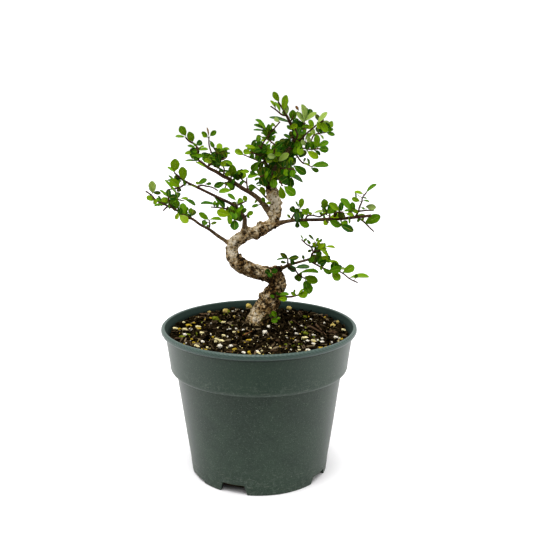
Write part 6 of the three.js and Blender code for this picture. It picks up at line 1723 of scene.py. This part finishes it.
def grow_part(part):
    courses = part["courses"]
    foot = at(*courses[0][0][:3])
    start = max(part["collar"] - ROOTED, 0)
    stem_way = stretch_of(courses[0], start, math.inf)
    stem = limbs(part["name"], [stem_way], 8)
    tag(stem, "age", lambda place: max(STEM_AGE, 1 - (place - foot).length / (OLD_WOOD_REACH * MM)))
    wood = [stem]
    if courses[1:]:
        twigs = limbs(part["name"], courses[1:], 6)
        tag(twigs, "age", lambda place: TWIG_AGE)
        wood.append(twigs)
    blades, stalks = [], []
    for leaf in part["leaves"] + [as_leaf(courses, spot) for spot in part["spots"]]:
        anchor, foot_depth, blade_foot, tip, width, face = grow(courses, leaf)
        tone = tone_of(leaf, part.get("painted_darkening", 0))
        blades.append(place_leaf(blade_foot, tip, width, face, tone))
        root = at(anchor.x, anchor.z, anchor.depth)
        wood.append(place_bud(root, (tip - root).normalized()))
        if (blade_foot - root).length > SHORTEST_STALK * MM:
            ends = [Stop(anchor.x, anchor.z, anchor.depth, STALK_RADII[0])]
            ends.append(Stop(leaf[0], leaf[1], foot_depth, STALK_RADII[1]))
            stalks.append(ends)
    if stalks:
        stalk = limbs("stalks", stalks, 4, 1)
        tag(stalk, "tone", lambda place: STALK_TONE)
        stalk.data.attributes.new("under", "FLOAT", "FACE")
        blades.append(stalk)
    return join(wood, part["name"] + "_wood"), join(blades, part["name"] + "_leaves")


grown = []
for part in PARTS:
    wood, leaves = grow_part(part)
    grown.append((part, wood, leaves))
    print(part["name"], len(wood.data.polygons), "faces of wood,", len(leaves.data.polygons), "of leaves")
for pattern in LONG_LEAVES + SHORT_LEAVES + [bud_pattern]:
    bpy.data.objects.remove(pattern)

# %% [markdown]
# Twig bark is dark brown and a little reddish where it is young. The leaves are glossy above and
# dull and pale below. Their veins follow the leaf, so they are drawn on its own UV map, where U runs
# across the blade and V from foot to tip.

# %% Wood and leaf finishes
twig_bark, twig_shader, base = new_finish("twig_bark", 0.75, 0.03)
age = written(base, "age")
streak = noise(base, 1.6, 3, 0.6)
tone = ramp(age + streak * 0.25 - 0.12, [
    (0.0, (0.12, 0.024, 0.01)),
    (0.2, (0.05, 0.024, 0.012)),
    (0.55, (0.04, 0.022, 0.009)),
    (0.95, (0.13, 0.085, 0.04)),
])
knots = noise(base, 2.2, 2, 0.5)
tone = blend(between(streak, 0.5, 0.7) * between(age, 0.15, 0.7, 0.25, 0.7), tone, (0.24, 0.16, 0.085))
tone = blend(between(knots, 0.5, 0.62) * 0.6, tone, (0.02, 0.01, 0.004))
feed(tone, twig_shader, "Base Color")
feed(relief(streak + knots, 0.6), twig_shader, "Normal")

leaf_finish, leaf_shader, base = new_finish("elm_leaf", 0.4, 0.04)
tone_value = written(base, "tone")
under = written(base, "under")
flat_place = base.node("ShaderNodeUVMap", {"uv_map": "UVMap"})
across, along = part_of(flat_place, 0), part_of(flat_place, 1)
off_rib = size_of(across - 0.5) * 2
rib = between(off_rib, 0.04, 0.15, 1, 0)
rows_of_veins = (along - off_rib * 0.22) * 8
vein = size_of(fraction(rows_of_veins) - 0.5)
vein_line = between(vein, 0.36, 0.48)
mottle = noise(base, 2.2, 3, 0.6)
# the dark stop is painted shade, the yellow-green one painted light, the pale one partly undersides and
# partly a painted sheen
tone = ramp(tone_value + mottle * 0.16 + off_rib * 0.06 - along * 0.05 - 0.09, [
    (0.0, (0.26, 0.1, 0.03)),
    (0.08, (0.06, 0.06, 0.002)),
    (0.19, (0.002, 0.059, 0.0002)),
    (0.42, (0.082, 0.215, 0.0004)),
    (0.66, (0.22, 0.35, 0.0006)),
    (0.86, (0.31, 0.43, 0.11)),
    (1.0, (0.034, 0.105, 0.028)),
])
tone = blend(rib * 0.34 + vein_line * 0.12, tone, (0.36, 0.46, 0.05))
tone = blend(under * 0.45, tone, (0.15, 0.24, 0.02))
feed(tone, leaf_shader, "Base Color")
feed(0.3 + under * 0.3 + mottle * 0.14, leaf_shader, "Roughness")
feed(relief(vein_line * -0.6 - rib + mottle, 0.2), leaf_shader, "Normal")

for part, wood, leaves in grown:
    paint(wood, twig_bark)
    paint(leaves, leaf_finish)
print(twig_bark.name, leaf_finish.name, len(leaf_finish.node_tree.nodes), "nodes")

# %% [markdown]
# ## Fit the pieces to the frame
# Every piece rides on the one body that the potted tree is, and the plain solid that it stands for
# is hidden.

# %% Ride and replace
def fit(piece, node):
    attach(piece, "root")
    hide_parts(node)


fit(pot, "pot")
fit(bed, "soil")
fit(grains, "soil")
fit(trunk, "trunk")
for part, wood, leaves in grown:
    fit(wood, part["name"])
    fit(leaves, part["name"])

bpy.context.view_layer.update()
